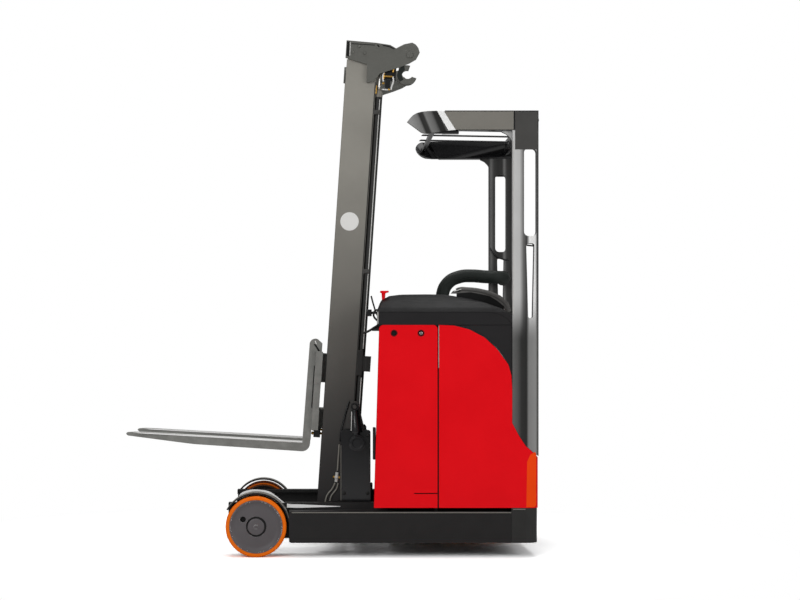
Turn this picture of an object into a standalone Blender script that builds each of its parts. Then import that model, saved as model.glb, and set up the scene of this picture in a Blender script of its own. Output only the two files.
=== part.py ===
"""Reach truck: battery-electric warehouse truck with a mast that reaches forward on rollers.

Metres, +Z up. The forks point to -X and the truck's left side is at -Y. The origin is on
the floor, below the middle of the whole truck.
"""

from math import atan2, cos, pi, radians, sin

import bmesh
import bpy
from mathutils import Matrix, Vector

GAP = 0.0003  # left between pieces that touch
RUNNING = 0.0006  # radial clearance of a pin in its eye, a rod in its barrel and a roller in its channel
SIDES = (("left", -1), ("right", 1))

# Overall body
HALF_WIDTH = 0.570
SKIN = 0.045  # depth of the outer side panels and posts
WALL = HALF_WIDTH - SKIN  # from the middle plane to the inner face of that skin
REAR_X = 1.030
REAR_CORNER = 0.060
FRAME_TOP = 0.243
PANEL_TOP = 1.140
GUARD_TOP = 2.191

# Load wheels
WHEEL_X, WHEEL_RADIUS, WHEEL_WIDTH = -0.355, 0.150, 0.090
TYRE_THICKNESS = 0.019
FENDER_GAP, FENDER_THICKNESS = 0.010, 0.008
STUB_RADIUS = 0.024

# Support arms, and the channels on their inner side that the reach carriage rolls in
ARM_FRONT_X = WHEEL_X + WHEEL_RADIUS + FENDER_GAP + 0.002
ARM_REAR_X = REAR_X - 0.132
ARM_BOTTOM, ARM_TOP = 0.0715, 0.226
ARM_WIDTH, CHANNEL_DEPTH = 0.095, 0.075
ARM_INSIDE = HALF_WIDTH - ARM_WIDTH
CHANNEL_INSIDE = ARM_INSIDE - CHANNEL_DEPTH
CHANNEL_FRONT_X, CHANNEL_REAR_X = WHEEL_X - 0.140, 0.304
CHANNEL_BOTTOM, CHANNEL_TOP = 0.085, 0.260
CHANNEL_WALL = 0.015

# Steered drive unit
DRIVE_X, DRIVE_Y = 0.780, HALF_WIDTH - 0.450
DRIVE_RADIUS, DRIVE_WIDTH = 0.140, 0.080
AXLE_RADIUS = 0.022
WELL_RADIUS, COLLAR_WALL = 0.185, 0.028
COLLAR_TOP = FRAME_TOP + 0.072
DECK_THICKNESS = 0.040
MOTOR_RADIUS, MOTOR_HEIGHT = 0.095, 0.300

# Battery and its walls
BATTERY_FRONT_X, BATTERY_REAR_X = 0.316, 0.520
BATTERY_TOP = PANEL_TOP - 0.190
BULKHEAD_WALL = 0.016
BULKHEAD_FRONT_X = BATTERY_FRONT_X - BULKHEAD_WALL - 0.010
BULKHEAD_REAR_X = BATTERY_REAR_X + 0.003
COVER_SPLIT_X = BATTERY_REAR_X + 0.015
PANEL_SPLIT = 0.007
COVER_HOLES_X, COVER_HOLE_RADIUS = (0.322, 0.454), 0.0145
COVER_LIPS = {"left": 0.066, "right": 0.014}  # how far each cover reaches in front of the bulkhead

# Guard posts and roof
POST_FRONT_X = 0.902
POST_LOW_END = PANEL_TOP - 0.650
ROOF_DEPTH = 0.096
ROOF_LOW = GUARD_TOP - ROOF_DEPTH
ROOF_BAR_RADIUS = 0.005
GAP_LOW, GAP_TOP = PANEL_TOP + 0.034, PANEL_TOP + 0.400
SLOT_LOW, SLOT_TOP = GAP_TOP + 0.036, ROOF_LOW - 0.088
SLOTS_X = {"left": (0.959, 1.020), "right": (0.936, 0.997)}

# Hood, cowl and cockpit
HOOD_FRONT_X, HOOD_LIP_Y = 0.243, HALF_WIDTH - 0.150
HOOD_BAND_TOP, HOOD_TOP = PANEL_TOP + 0.061, PANEL_TOP + 0.162
POCKET_FRONT_X, POCKET_HALF_WIDTH = 0.620, HALF_WIDTH - 0.200
COCKPIT_FRONT_X = BULKHEAD_REAR_X + BULKHEAD_WALL + GAP
SEAT_EDGE = DRIVE_Y - WELL_RADIUS - COLLAR_WALL - 0.030
SEAT_TOP, PAD_THICKNESS = 0.700, 0.080
DASH_REAR_X = 0.760
HUB_Y = 0.125 - POCKET_HALF_WIDTH
COLUMN_RADIUS, RIM_RADIUS, RIM_THICKNESS = 0.022, 0.080, 0.020

# Mast: local u runs rearward, w runs up the mast, from the tilt pivot
TILT_BACK = radians(3.8)
PIVOT = Vector((0.0, 0.0, 0.200))
PIN_RADIUS = 0.022
PLATE_THICKNESS = 0.012
PLATE_OUTSIDE = CHANNEL_INSIDE - 0.031
PLATE_INSIDE = PLATE_OUTSIDE - PLATE_THICKNESS
WEB, FLANGE = 0.012, 0.015
OUTER_FRONT_U, OUTER_REAR_U = -0.057, 0.097
OUTER_FACE = PLATE_INSIDE - 0.007
OUTER_INSIDE = OUTER_FACE - 0.047
OUTER_LOW, OUTER_HIGH = -0.110, 2.285
INNER_FRONT_U, INNER_REAR_U = OUTER_FRONT_U + 0.007, OUTER_REAR_U - 0.007
INNER_FACE = OUTER_INSIDE - 0.008
INNER_INSIDE = INNER_FACE - 0.050
INNER_LOW, INNER_HIGH = -0.085, OUTER_HIGH + 0.015
CROWN_INSIDE, CROWN_THICKNESS = OUTER_FACE + 0.0055, 0.012
CROWN_CAP_LOW = INNER_HIGH - 0.038
LIFT_RADIUS, LIFT_ROD = 0.0185, 0.0120
LIFT_U, LIFT_Y = OUTER_REAR_U + LIFT_RADIUS + 0.0005, OUTER_FACE - 0.025
LIFT_LOW, LIFT_TOP = 0.050, OUTER_HIGH - 0.165

# Reach carriage
BOX_FRONT_X, BOX_REAR_X = 0.064, 0.213
BOX_LOW, BOX_TOP = 0.262, 0.618
CARRIAGE_LOW = 0.130
ROLLERS_X = (0.010, 0.170)

# Reach cylinder
REACH_Y, REACH_Z, REACH_RADIUS, REACH_ROD = -CHANNEL_INSIDE / 2, 0.152, 0.034, 0.018
REACH_FRONT_X, REACH_REAR_X = BOX_REAR_X + 0.032, DRIVE_X - 0.045

# Tilt cylinders
TILT_FOOT = Vector((0.146, 0.0, BOX_TOP - 0.065))
TILT_HEAD = TILT_FOOT + Vector((-0.014, 0.0, 0.182))
TILT_Y, TILT_WIDTH = PLATE_OUTSIDE + 0.026, 0.036
FOOT_EYE, FOOT_PIN = 0.042, 0.018
HEAD_EYE, HEAD_PIN = 0.020, 0.010
TILT_BARREL, TILT_ROD = 0.017, 0.010
EYE_CLEARANCE = 0.003

# Fork carriage and forks
FORK_Y, FORK_WIDTH = CHANNEL_INSIDE - 0.140, 0.100
BLADE_TIP_U, BLADE_TOP_W, BLADE_THICKNESS, TIP_THICKNESS = -1.051, 0.338, 0.040, 0.008
BAR_FRONT_U, BAR_REAR_U = -0.114, -0.079
SHANK_FRONT_U, SHANK_REAR_U = BAR_FRONT_U - 0.040, BAR_FRONT_U - GAP
UPPER_BAR_LOW, UPPER_BAR_TOP = 0.6465, 0.808
LOWER_BAR_LOW, LOWER_BAR_TOP = 0.410, 0.510
HOOK_TOP_W = UPPER_BAR_TOP + 0.064
BAR_HALF_WIDTH = CHANNEL_INSIDE - 0.070

# Free-lift cylinder and chains
FREE_U, FREE_RADIUS, FREE_ROD = 0.030, 0.034, 0.018
FREE_LOW, FREE_TOP = 0.020, 1.250
SHEAVE_W, SHEAVE_RADIUS = FREE_TOP + 0.250, 0.046
CHAIN_Y, CHAIN_WIDTH, CHAIN_THICKNESS = 0.055, 0.020, 0.008
CHAIN_FRONT_W, CHAIN_REAR_W = 0.570, 0.300


# Shared tools

def new_collection(name):
    collection = bpy.data.collections.new(name)
    bpy.context.scene.collection.children.link(collection)
    return collection


for old in list(bpy.data.objects):
    bpy.data.objects.remove(old, do_unlink=True)

TRUCK = new_collection("reach_truck")
HELPERS = new_collection("cutters_and_joined_forms")

FINISHES = {  # slot: colour, roughness, metallic
    "red_paint": ((0.68, 0.004, 0.010), 0.35, 0.0),
    "black_frame": ((0.020, 0.020, 0.021), 0.45, 0.0),
    "black_plastic": ((0.016, 0.016, 0.017), 0.55, 0.0),
    "grey_trim": ((0.40, 0.39, 0.37), 0.50, 0.0),
    "mast_steel": ((0.27, 0.26, 0.245), 0.50, 0.0),
    "chrome_rod": ((0.70, 0.70, 0.70), 0.15, 1.0),
    "tyre_orange": ((0.58, 0.145, 0.010), 0.50, 0.0),
    "wheel_grey": ((0.10, 0.10, 0.095), 0.45, 0.0),
    "fork_steel": ((0.030, 0.030, 0.032), 0.45, 0.2),
    "battery_grey": ((0.060, 0.060, 0.065), 0.60, 0.0),
    "soft_black": ((0.012, 0.016, 0.014), 0.65, 0.0),
    "chain_steel": ((0.12, 0.11, 0.10), 0.40, 0.8),
}
MATERIALS = {}
for slot, (colour, roughness, metallic) in FINISHES.items():
    material = bpy.data.materials.new(slot)
    material.use_nodes = True
    shader = material.node_tree.nodes["Principled BSDF"]
    shader.inputs["Base Color"].default_value = (*colour, 1.0)
    shader.inputs["Roughness"].default_value = roughness
    shader.inputs["Metallic"].default_value = metallic
    MATERIALS[slot] = material


def new_empty(name, place, turn=0.0):
    """An empty at a place, turned about Y, that pieces hang from."""
    empty = bpy.data.objects.new(name, None)
    empty.location = place
    empty.rotation_euler = (0.0, turn, 0.0)
    TRUCK.objects.link(empty)
    return empty


MAST = new_empty("mast_tilt_axis", PIVOT, TILT_BACK)
GROUPS = {None: None, "mast": MAST}


def add_object(name, mesh, group=None, origin=(0.0, 0.0, 0.0)):
    """Links a mesh as a helper form; finish() makes it a visible piece."""
    origin = Vector(origin)
    mesh.transform(Matrix.Translation(-origin))
    piece = bpy.data.objects.new(name, mesh)
    piece.location = origin
    piece.parent = GROUPS[group]
    HELPERS.objects.link(piece)
    piece.hide_render = True
    piece.display_type = "WIRE"
    return piece


def finish(piece, slot, name=None):
    """Makes a form a visible piece of the truck with its material."""
    piece.name = name or piece.name
    piece.data.materials.clear()
    piece.data.materials.append(MATERIALS[slot])
    piece.hide_render = False
    piece.display_type = "TEXTURED"
    HELPERS.objects.unlink(piece)
    TRUCK.objects.link(piece)
    piece.data.shade_smooth()
    piece.data.set_sharp_from_angle(angle=radians(35))
    return piece


def join(piece, *others):
    for other in others:
        union = piece.modifiers.new("join_" + other.name, "BOOLEAN")
        union.operation = "UNION"
        union.object = other
    return piece


def cut(piece, *cutters):
    for cutter in cutters:
        difference = piece.modifiers.new("cut_" + cutter.name, "BOOLEAN")
        difference.operation = "DIFFERENCE"
        difference.object = cutter
    return piece


def keep_common(piece, other):
    common = piece.modifiers.new("common_" + other.name, "BOOLEAN")
    common.operation = "INTERSECT"
    common.object = other
    return piece


def round_edges(piece, width, segments=2, angle=30):
    bevel = piece.modifiers.new("round_edges", "BEVEL")
    bevel.width = width
    bevel.segments = segments
    bevel.limit_method = "ANGLE"
    bevel.angle_limit = radians(angle)
    return piece


def side_span(side, near, far):
    """A Y span on one side of the truck, from two distances off its middle plane."""
    return tuple(sorted((side * near, side * far)))


def box(name, x, y, z, group=None, origin=(0.0, 0.0, 0.0)):
    cube = bmesh.new()
    bmesh.ops.create_cube(cube, size=1.0)
    size = Vector((x[1] - x[0], y[1] - y[0], z[1] - z[0]))
    middle = Vector((x[1] + x[0], y[1] + y[0], z[1] + z[0])) / 2
    cube.transform(Matrix.Translation(middle) @ Matrix.Diagonal((*size, 1.0)))
    mesh = bpy.data.meshes.new(name)
    cube.to_mesh(mesh)
    cube.free()
    return add_object(name, mesh, group, origin)


def rod(name, start, end, radius, group=None, end_radius=None, sides=24, origin=(0.0, 0.0, 0.0)):
    """A cylinder or cone between two points."""
    start, end = Vector(start), Vector(end)
    cone = bmesh.new()
    end_radius = radius if end_radius is None else end_radius
    bmesh.ops.create_cone(cone, cap_ends=True, segments=sides, radius1=radius,
                          radius2=end_radius, depth=(end - start).length)
    turn = (end - start).to_track_quat("Z", "Y").to_matrix().to_4x4()
    cone.transform(Matrix.Translation((start + end) / 2) @ turn)
    mesh = bpy.data.meshes.new(name)
    cone.to_mesh(mesh)
    cone.free()
    return add_object(name, mesh, group, origin)


def pin_y(name, x, z, radius, span, group=None, sides=24, origin=(0.0, 0.0, 0.0)):
    """A cylinder along Y."""
    return rod(name, (x, span[0], z), (x, span[1], z), radius, group, sides=sides, origin=origin)


PLANES = {  # where an outline's two directions and its thickness point
    "XZ": Matrix(((1, 0, 0), (0, 0, -1), (0, 1, 0))),
    "XY": Matrix(((1, 0, 0), (0, 1, 0), (0, 0, 1))),
    "YZ": Matrix(((0, 0, 1), (1, 0, 0), (0, 1, 0))),
}


def sheet(name, outline, span, plane="XZ", group=None, origin=(0.0, 0.0, 0.0)):
    """A flat outline, extruded across its plane over a span."""
    curve = bpy.data.curves.new(name, "CURVE")
    curve.dimensions = "2D"
    curve.fill_mode = "BOTH"
    curve.extrude = (span[1] - span[0]) / 2
    spline = curve.splines.new("POLY")
    spline.points.add(len(outline) - 1)
    for point, (first, second) in zip(spline.points, outline):
        point.co = (first, second, 0.0, 1.0)
    spline.use_cyclic_u = True
    guide = bpy.data.objects.new(name + "_outline", curve)
    HELPERS.objects.link(guide)
    bpy.context.view_layer.update()
    graph = bpy.context.evaluated_depsgraph_get()
    mesh = bpy.data.meshes.new_from_object(guide.evaluated_get(graph))
    bpy.data.objects.remove(guide)
    welded = bmesh.new()
    welded.from_mesh(mesh)
    bmesh.ops.remove_doubles(welded, verts=welded.verts, dist=1e-5)
    bmesh.ops.recalc_face_normals(welded, faces=welded.faces)
    middle = (span[0] + span[1]) / 2
    offset = {"XZ": (0, middle, 0), "XY": (0, 0, middle), "YZ": (middle, 0, 0)}[plane]
    welded.transform(Matrix.Translation(offset) @ PLANES[plane].to_4x4())
    welded.to_mesh(mesh)
    welded.free()
    mesh.name = name
    return add_object(name, mesh, group, origin)


def arc(centre, radius, start, end, steps=8):
    """Points of an arc in a plane; angles in degrees, anticlockwise from the first direction."""
    turns = [radians(start + (end - start) * i / steps) for i in range(steps + 1)]
    return [(centre[0] + radius * cos(t), centre[1] + radius * sin(t)) for t in turns]


def rounded(corners, steps=5):
    """An outline whose corners, given as (first, second, radius), are rounded."""
    points = []
    for i, (first, second, radius) in enumerate(corners):
        corner = Vector((first, second))
        if not radius:
            points.append((first, second))
            continue
        before = Vector(corners[i - 1][:2]) - corner
        after = Vector(corners[(i + 1) % len(corners)][:2]) - corner
        half = before.angle(after) / 2
        reach = radius / (sin(half) / cos(half))
        start = corner + before.normalized() * reach
        end = corner + after.normalized() * reach
        centre = corner + (before.normalized() + after.normalized()).normalized() * radius / sin(half)
        a = atan2(*(start - centre).yx)
        b = atan2(*(end - centre).yx)
        turn = (b - a + pi) % (2 * pi) - pi
        for k in range(steps + 1):
            angle = a + turn * k / steps
            points.append((centre.x + radius * cos(angle), centre.y + radius * sin(angle)))
    return points


def turned(name, profile, centre, steps=48, closed=True, group=None):
    """A profile of (radius, y) points, turned about an axis along Y through the centre."""
    outline = bmesh.new()
    points = [outline.verts.new((radius, 0.0, along)) for radius, along in profile]
    for first, second in zip(points, points[1:] + points[:1] if closed else points[1:]):
        outline.edges.new((first, second))
    mesh = bpy.data.meshes.new(name)
    outline.to_mesh(mesh)
    outline.free()
    piece = bpy.data.objects.new(name, mesh)
    piece.location = centre
    piece.rotation_euler = (-pi / 2, 0.0, 0.0)
    piece.parent = GROUPS[group]
    HELPERS.objects.link(piece)
    piece.hide_render = True
    piece.display_type = "WIRE"
    screw = piece.modifiers.new("turn", "SCREW")
    screw.axis = "Z"
    screw.steps = screw.render_steps = steps
    screw.use_merge_vertices = True
    screw.merge_threshold = 1e-5
    return piece


def ring_profile(inner, outer, half, edge=0.004):
    """A closed profile with its outer corners eased, down the outer side from the top."""
    return [(outer - edge, half), (outer, half - edge), (outer, edge - half),
            (outer - edge, -half), (inner, -half), (inner, half)]


def tube(name, points, radius, group=None, sides=12, rounds=8):
    """A round bar swept along a smooth curve through points, as a welded mesh."""
    curve = bpy.data.curves.new(name, "CURVE")
    curve.dimensions = "3D"
    curve.bevel_depth = radius
    curve.bevel_resolution = max(0, sides // 4 - 1)
    curve.use_fill_caps = True
    curve.resolution_u = rounds
    spline = curve.splines.new("BEZIER")
    spline.bezier_points.add(len(points) - 1)
    for knot, place in zip(spline.bezier_points, points):
        knot.co = place
        knot.handle_left_type = knot.handle_right_type = "AUTO"
    guide = bpy.data.objects.new(name + "_path", curve)
    HELPERS.objects.link(guide)
    bpy.context.view_layer.update()
    graph = bpy.context.evaluated_depsgraph_get()
    mesh = bpy.data.meshes.new_from_object(guide.evaluated_get(graph))
    bpy.data.objects.remove(guide)
    welded = bmesh.new()
    welded.from_mesh(mesh)
    bmesh.ops.remove_doubles(welded, verts=welded.verts, dist=1e-5)
    bmesh.ops.recalc_face_normals(welded, faces=welded.faces)
    welded.to_mesh(mesh)
    welded.free()
    mesh.name = name
    return add_object(name, mesh, group)


# The curve between the red side panel and the black corner trim: x, and drop below the panel's top
PANEL_CURVE = [(x, PANEL_TOP - drop) for x, drop in (
    (COVER_SPLIT_X + PANEL_SPLIT, 0.0), (0.617, 0.003), (0.691, 0.022), (0.765, 0.061), (0.829, 0.120),
    (0.882, 0.194), (POST_FRONT_X - 0.005, 0.247), (POST_FRONT_X - 0.001, 0.311),
    (POST_FRONT_X - 0.001, 0.375), (POST_FRONT_X - 0.001, 0.481), (0.935, 0.545), (0.967, 0.593),
    (1.015, 0.635), (REAR_X, 0.650))]
TRIM_END, POST_START = 7, 9  # where along the curve the corner trim ends and the post's foot begins


def support_arm(name, side):
    """One leg: outer beam, inner reach channel, fender and the load wheel's stub axle."""
    rear = ARM_REAR_X - GAP
    weld = 0.003  # how far joined plates run into each other
    beam = sheet("leg_" + name, rounded([(ARM_FRONT_X, ARM_BOTTOM, 0.012), (rear, ARM_BOTTOM, 0),
                                         (rear, ARM_TOP, 0), (ARM_FRONT_X, ARM_TOP, 0)]),
                 side_span(side, ARM_INSIDE - weld - 0.001, HALF_WIDTH))
    across = side_span(side, CHANNEL_INSIDE, ARM_INSIDE - weld)
    plates = [
        box("arm_web_" + name, (CHANNEL_FRONT_X, rear),
            side_span(side, ARM_INSIDE - CHANNEL_WALL, ARM_INSIDE - 0.002), (CHANNEL_BOTTOM, CHANNEL_TOP)),
        box("arm_low_flange_" + name, (CHANNEL_FRONT_X, rear), across,
            (CHANNEL_BOTTOM, CHANNEL_BOTTOM + CHANNEL_WALL)),
        box("arm_high_flange_" + name, (CHANNEL_FRONT_X, CHANNEL_REAR_X), across,
            (CHANNEL_TOP - CHANNEL_WALL, CHANNEL_TOP)),
        box("arm_rear_fill_" + name, (CHANNEL_REAR_X + 0.001, rear), across,
            (CHANNEL_BOTTOM + 0.001, ARM_TOP - 0.001)),
    ]
    step = box("arm_step_" + name, (CHANNEL_REAR_X, ARM_REAR_X + 0.01),
               side_span(side, CHANNEL_INSIDE - 0.01, ARM_INSIDE + 0.01), (ARM_TOP, CHANNEL_TOP + 0.02))
    arch_radius = WHEEL_RADIUS + FENDER_GAP
    hub_centre = (WHEEL_X, WHEEL_RADIUS)
    fender = sheet("arm_fender_" + name,
                   arc(hub_centre, arch_radius + FENDER_THICKNESS, 8, 150, 16)
                   + arc(hub_centre, arch_radius, 150, 8, 16),
                   side_span(side, ARM_INSIDE - 0.006, HALF_WIDTH - 0.014))
    stub = pin_y("arm_stub_" + name, *hub_centre, STUB_RADIUS,
                 side_span(side, ARM_INSIDE - 0.008, HALF_WIDTH - 0.020))
    arch = pin_y("arm_arch_" + name, *hub_centre, arch_radius,
                 side_span(side, ARM_INSIDE, HALF_WIDTH + 0.02), sides=64)
    join(beam, *plates)
    cut(beam, arch, step)
    join(beam, fender, stub)
    return finish(beam, "black_frame")


def load_wheel(name, side):
    """Polyurethane tyre on a dished hub, turning on the arm's stub."""
    middle = side * (HALF_WIDTH - WHEEL_WIDTH / 2)
    centre = (WHEEL_X, middle, WHEEL_RADIUS)
    rim = WHEEL_RADIUS - TYRE_THICKNESS
    half = WHEEL_WIDTH / 2
    tyre = turned("load_tyre_" + name, ring_profile(rim, WHEEL_RADIUS, half), centre)
    bore = STUB_RADIUS + RUNNING
    face = half - 0.006
    hub = turned("load_hub_" + name, [
        (0.042, face + 0.002), (rim - 0.012, face - 0.004), (rim - GAP, half - 0.002),
        (rim - GAP, 0.002 - half), (rim - 0.012, 0.004 - half), (bore, 0.004 - half),
        (bore, face - 0.014)] if side > 0 else [
        (bore, half - 0.004), (rim - 0.012, half - 0.004), (rim - GAP, half - 0.002),
        (rim - GAP, 0.002 - half), (rim - 0.012, 0.004 - face), (0.042, -face - 0.002),
        (bore, 0.014 - face)], centre)
    finish(tyre, "tyre_orange")
    finish(hub, "wheel_grey")


def base_frame():
    """Deck behind the mast between the arms, with the drive well and the rear skirt."""
    deck_low = FRAME_TOP - DECK_THICKNESS
    inside = CHANNEL_INSIDE - GAP
    front = BATTERY_FRONT_X - 0.012
    tail = [(ARM_REAR_X, -HALF_WIDTH, 0), (REAR_X, -HALF_WIDTH, REAR_CORNER),
            (REAR_X, HALF_WIDTH, REAR_CORNER), (ARM_REAR_X, HALF_WIDTH, 0)]
    plan = [(front, -inside, 0), (ARM_REAR_X, -inside, 0), *tail,
            (ARM_REAR_X, inside, 0), (front, inside, 0)]
    deck = sheet("base_frame", rounded(plan), (deck_low, FRAME_TOP), "XY")
    skirt = sheet("base_skirt", rounded(tail), (ARM_BOTTOM, FRAME_TOP - 0.001), "XY")
    round_edges(skirt, 0.030, 3, 60)
    skirt_inside = HALF_WIDTH - 0.050
    hollow = box("base_skirt_hollow", (0.5, REAR_X - SKIN), (-skirt_inside, skirt_inside), (0.0, deck_low))
    collar = rod("base_collar", (DRIVE_X, DRIVE_Y, FRAME_TOP - 0.010), (DRIVE_X, DRIVE_Y, COLLAR_TOP),
                 WELL_RADIUS + COLLAR_WALL, sides=64)
    well = rod("base_well", (DRIVE_X, DRIVE_Y, 0.1), (DRIVE_X, DRIVE_Y, COLLAR_TOP + 0.1), WELL_RADIUS,
               sides=64)
    lug_half = REACH_RADIUS + 0.006
    lug = box("base_cylinder_lug", (REACH_REAR_X + GAP, REACH_REAR_X + 0.040),
              (REACH_Y - lug_half, REACH_Y + lug_half), (REACH_Z - lug_half, deck_low + 0.010))
    cut(skirt, hollow)
    join(deck, skirt, collar, lug)
    cut(deck, well)
    return finish(deck, "black_frame")


def drive_unit():
    """Turntable and motor on the collar, with a fork arm that holds the drive wheel."""
    top = COLLAR_TOP + GAP
    axis = (DRIVE_X, DRIVE_Y, top)
    half = DRIVE_WIDTH / 2
    disc = rod("drive_yoke", axis, (DRIVE_X, DRIVE_Y, top + 0.020), WELL_RADIUS + 0.020, sides=64,
               origin=axis)
    motor = rod("drive_motor", (DRIVE_X, DRIVE_Y, top + 0.015), (DRIVE_X, DRIVE_Y, top + MOTOR_HEIGHT),
                MOTOR_RADIUS)
    arm = sheet("drive_arm", rounded([
        (DRIVE_X - 0.060, DRIVE_RADIUS - 0.05, 0.045), (DRIVE_X + 0.060, DRIVE_RADIUS - 0.05, 0.045),
        (DRIVE_X + 0.090, top + 0.010, 0), (DRIVE_X - 0.090, top + 0.010, 0)]),
        (DRIVE_Y + half + 0.008, DRIVE_Y + half + 0.040))
    axle = pin_y("drive_axle", DRIVE_X, DRIVE_RADIUS, AXLE_RADIUS,
                 (DRIVE_Y - half + 0.002, DRIVE_Y + half + 0.020))
    join(disc, motor, arm, axle)
    finish(disc, "black_frame")
    wheel = turned("drive_wheel", ring_profile(AXLE_RADIUS + RUNNING, DRIVE_RADIUS, half),
                   (DRIVE_X, DRIVE_Y, DRIVE_RADIUS))
    finish(wheel, "tyre_orange")


def battery():
    """The battery block between two bulkheads that carry the covers and the hood."""
    half = WALL - 0.020
    block = box("battery_block", (BATTERY_FRONT_X, BATTERY_REAR_X), (-half, half),
                (FRAME_TOP + GAP, BATTERY_TOP))
    finish(round_edges(block, 0.006, 1), "battery_grey")
    wide = WALL - GAP
    wall = box("bulkhead_front", (BULKHEAD_FRONT_X, BULKHEAD_FRONT_X + BULKHEAD_WALL), (-wide, wide),
               (CHANNEL_TOP + GAP, PANEL_TOP))
    finish(wall, "black_frame")
    wall = box("bulkhead_rear", (BULKHEAD_REAR_X, BULKHEAD_REAR_X + BULKHEAD_WALL), (-wide, wide),
               (ARM_TOP + GAP, PANEL_TOP))
    over_deck = CHANNEL_INSIDE + 0.001
    cut(wall, box("bulkhead_rear_foot", (BULKHEAD_REAR_X - 0.1, BULKHEAD_REAR_X + 0.1),
                  (-over_deck, over_deck), (0.1, FRAME_TOP + GAP)))
    finish(wall, "black_frame")


def battery_cover(name, side):
    """Red side cover of the battery, with two holes and a low slit."""
    low = FRAME_TOP + GAP
    front = BULKHEAD_FRONT_X - COVER_LIPS[name]
    panel = sheet("battery_cover_" + name, rounded([
        (front, low, 0), (COVER_SPLIT_X, low, 0), (COVER_SPLIT_X, PANEL_TOP, 0.020),
        (front + 0.026, PANEL_TOP, 0.020)]), side_span(side, WALL, HALF_WIDTH))
    for index, x in enumerate(COVER_HOLES_X):
        cut(panel, pin_y(f"cover_hole_{name}_{index}", x, PANEL_TOP - 0.040, COVER_HOLE_RADIUS,
                         side_span(side, HALF_WIDTH - 0.012, HALF_WIDTH + 0.01), sides=24))
    cut(panel, box("cover_slit_" + name, (COVER_SPLIT_X - 0.115, COVER_SPLIT_X + 0.01),
                   side_span(side, HALF_WIDTH - 0.010, HALF_WIDTH + 0.01), (low + 0.068, low + 0.073)))
    finish(panel, "red_paint")


def side_panel(name, side):
    """Red rear panel whose top falls in a curve to the rear, with a rounded rear corner."""
    outline = [(COVER_SPLIT_X + PANEL_SPLIT, FRAME_TOP + GAP), (REAR_X, FRAME_TOP + GAP)] + PANEL_CURVE[::-1]
    panel = sheet("side_panel_" + name, outline, side_span(side, WALL, HALF_WIDTH))
    corner = sheet("side_corner_" + name, rounded([
        (0.5, side * (WALL - 0.01), 0), (REAR_X, side * (WALL - 0.01), 0),
        (REAR_X, side * HALF_WIDTH, 0.030), (0.5, side * HALF_WIDTH, 0)]),
        (FRAME_TOP - 0.05, PANEL_TOP + 0.1), "XY")
    keep_common(panel, corner)
    finish(panel, "red_paint")


def corner_trim(name, side):
    """Black moulding between the panel's curve, the hood band and the post."""
    outline = [(x, z + GAP * 2) for x, z in PANEL_CURVE[1:TRIM_END]]
    outline += [(POST_FRONT_X - GAP, outline[-1][1] - 0.015), (POST_FRONT_X - GAP, PANEL_TOP)]
    trim = sheet("corner_trim_" + name, outline, side_span(side, WALL, HALF_WIDTH - 0.004))
    finish(trim, "black_plastic")


def hood_section(lift):
    """The hood's outline across the truck, raised by a lift."""
    half = [(HALF_WIDTH - inset, z + lift) for inset, z in (
        (0.0, HOOD_BAND_TOP), (0.018, HOOD_BAND_TOP + 0.022), (0.070, HOOD_BAND_TOP + 0.058),
        (0.130, HOOD_BAND_TOP + 0.085), (0.200, HOOD_TOP), (0.370, HOOD_TOP + 0.006))]
    half.insert(0, (HALF_WIDTH, PANEL_TOP))
    return half + [(-y, z) for y, z in reversed(half)]


def hood():
    """Crowned cover over the battery, set back for the mast beside a lip on the left, with a wing
    along each side of the cockpit."""
    crown = [(x, HOOD_TOP - drop) for x, drop in (
        (0.262, 0.040), (0.305, 0.014), (0.368, 0.004), (0.489, 0.0), (0.620, 0.0), (0.720, 0.002),
        (0.800, 0.032), (0.850, 0.067), (POST_FRONT_X - GAP, 0.112))]
    cover = sheet("hood", [(HOOD_FRONT_X, PANEL_TOP + GAP), (HOOD_FRONT_X, HOOD_BAND_TOP + 0.010), *crown,
                           (POST_FRONT_X - GAP, PANEL_TOP + GAP)], (-HALF_WIDTH, HALF_WIDTH))
    section = sheet("hood_section", hood_section(0.0), (HOOD_FRONT_X - 0.1, REAR_X), "YZ")
    pocket = box("hood_pocket", (POCKET_FRONT_X, REAR_X + 0.1), (-POCKET_HALF_WIDTH, POCKET_HALF_WIDTH),
                 (PANEL_TOP - 0.1, HOOD_TOP + 0.1))
    recess = box("hood_recess", (HOOD_FRONT_X - 0.1, BULKHEAD_FRONT_X), (-HOOD_LIP_Y, HALF_WIDTH + 0.1),
                 (PANEL_TOP - 0.1, HOOD_TOP + 0.1))
    keep_common(cover, section)
    cut(cover, pocket, recess)
    finish(cover, "black_plastic")


def dash_shape(name, lift):
    """The dash console's form, its top raised by a lift."""
    top = PANEL_TOP + lift
    return sheet(name, rounded([
        (COCKPIT_FRONT_X, PANEL_TOP - 0.320, 0), (DASH_REAR_X, PANEL_TOP - 0.240, 0.030),
        (DASH_REAR_X, top - 0.140, 0.030), (COCKPIT_FRONT_X, top - 0.030, 0)]),
        (GAP - WALL, HUB_Y + 0.105))


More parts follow.
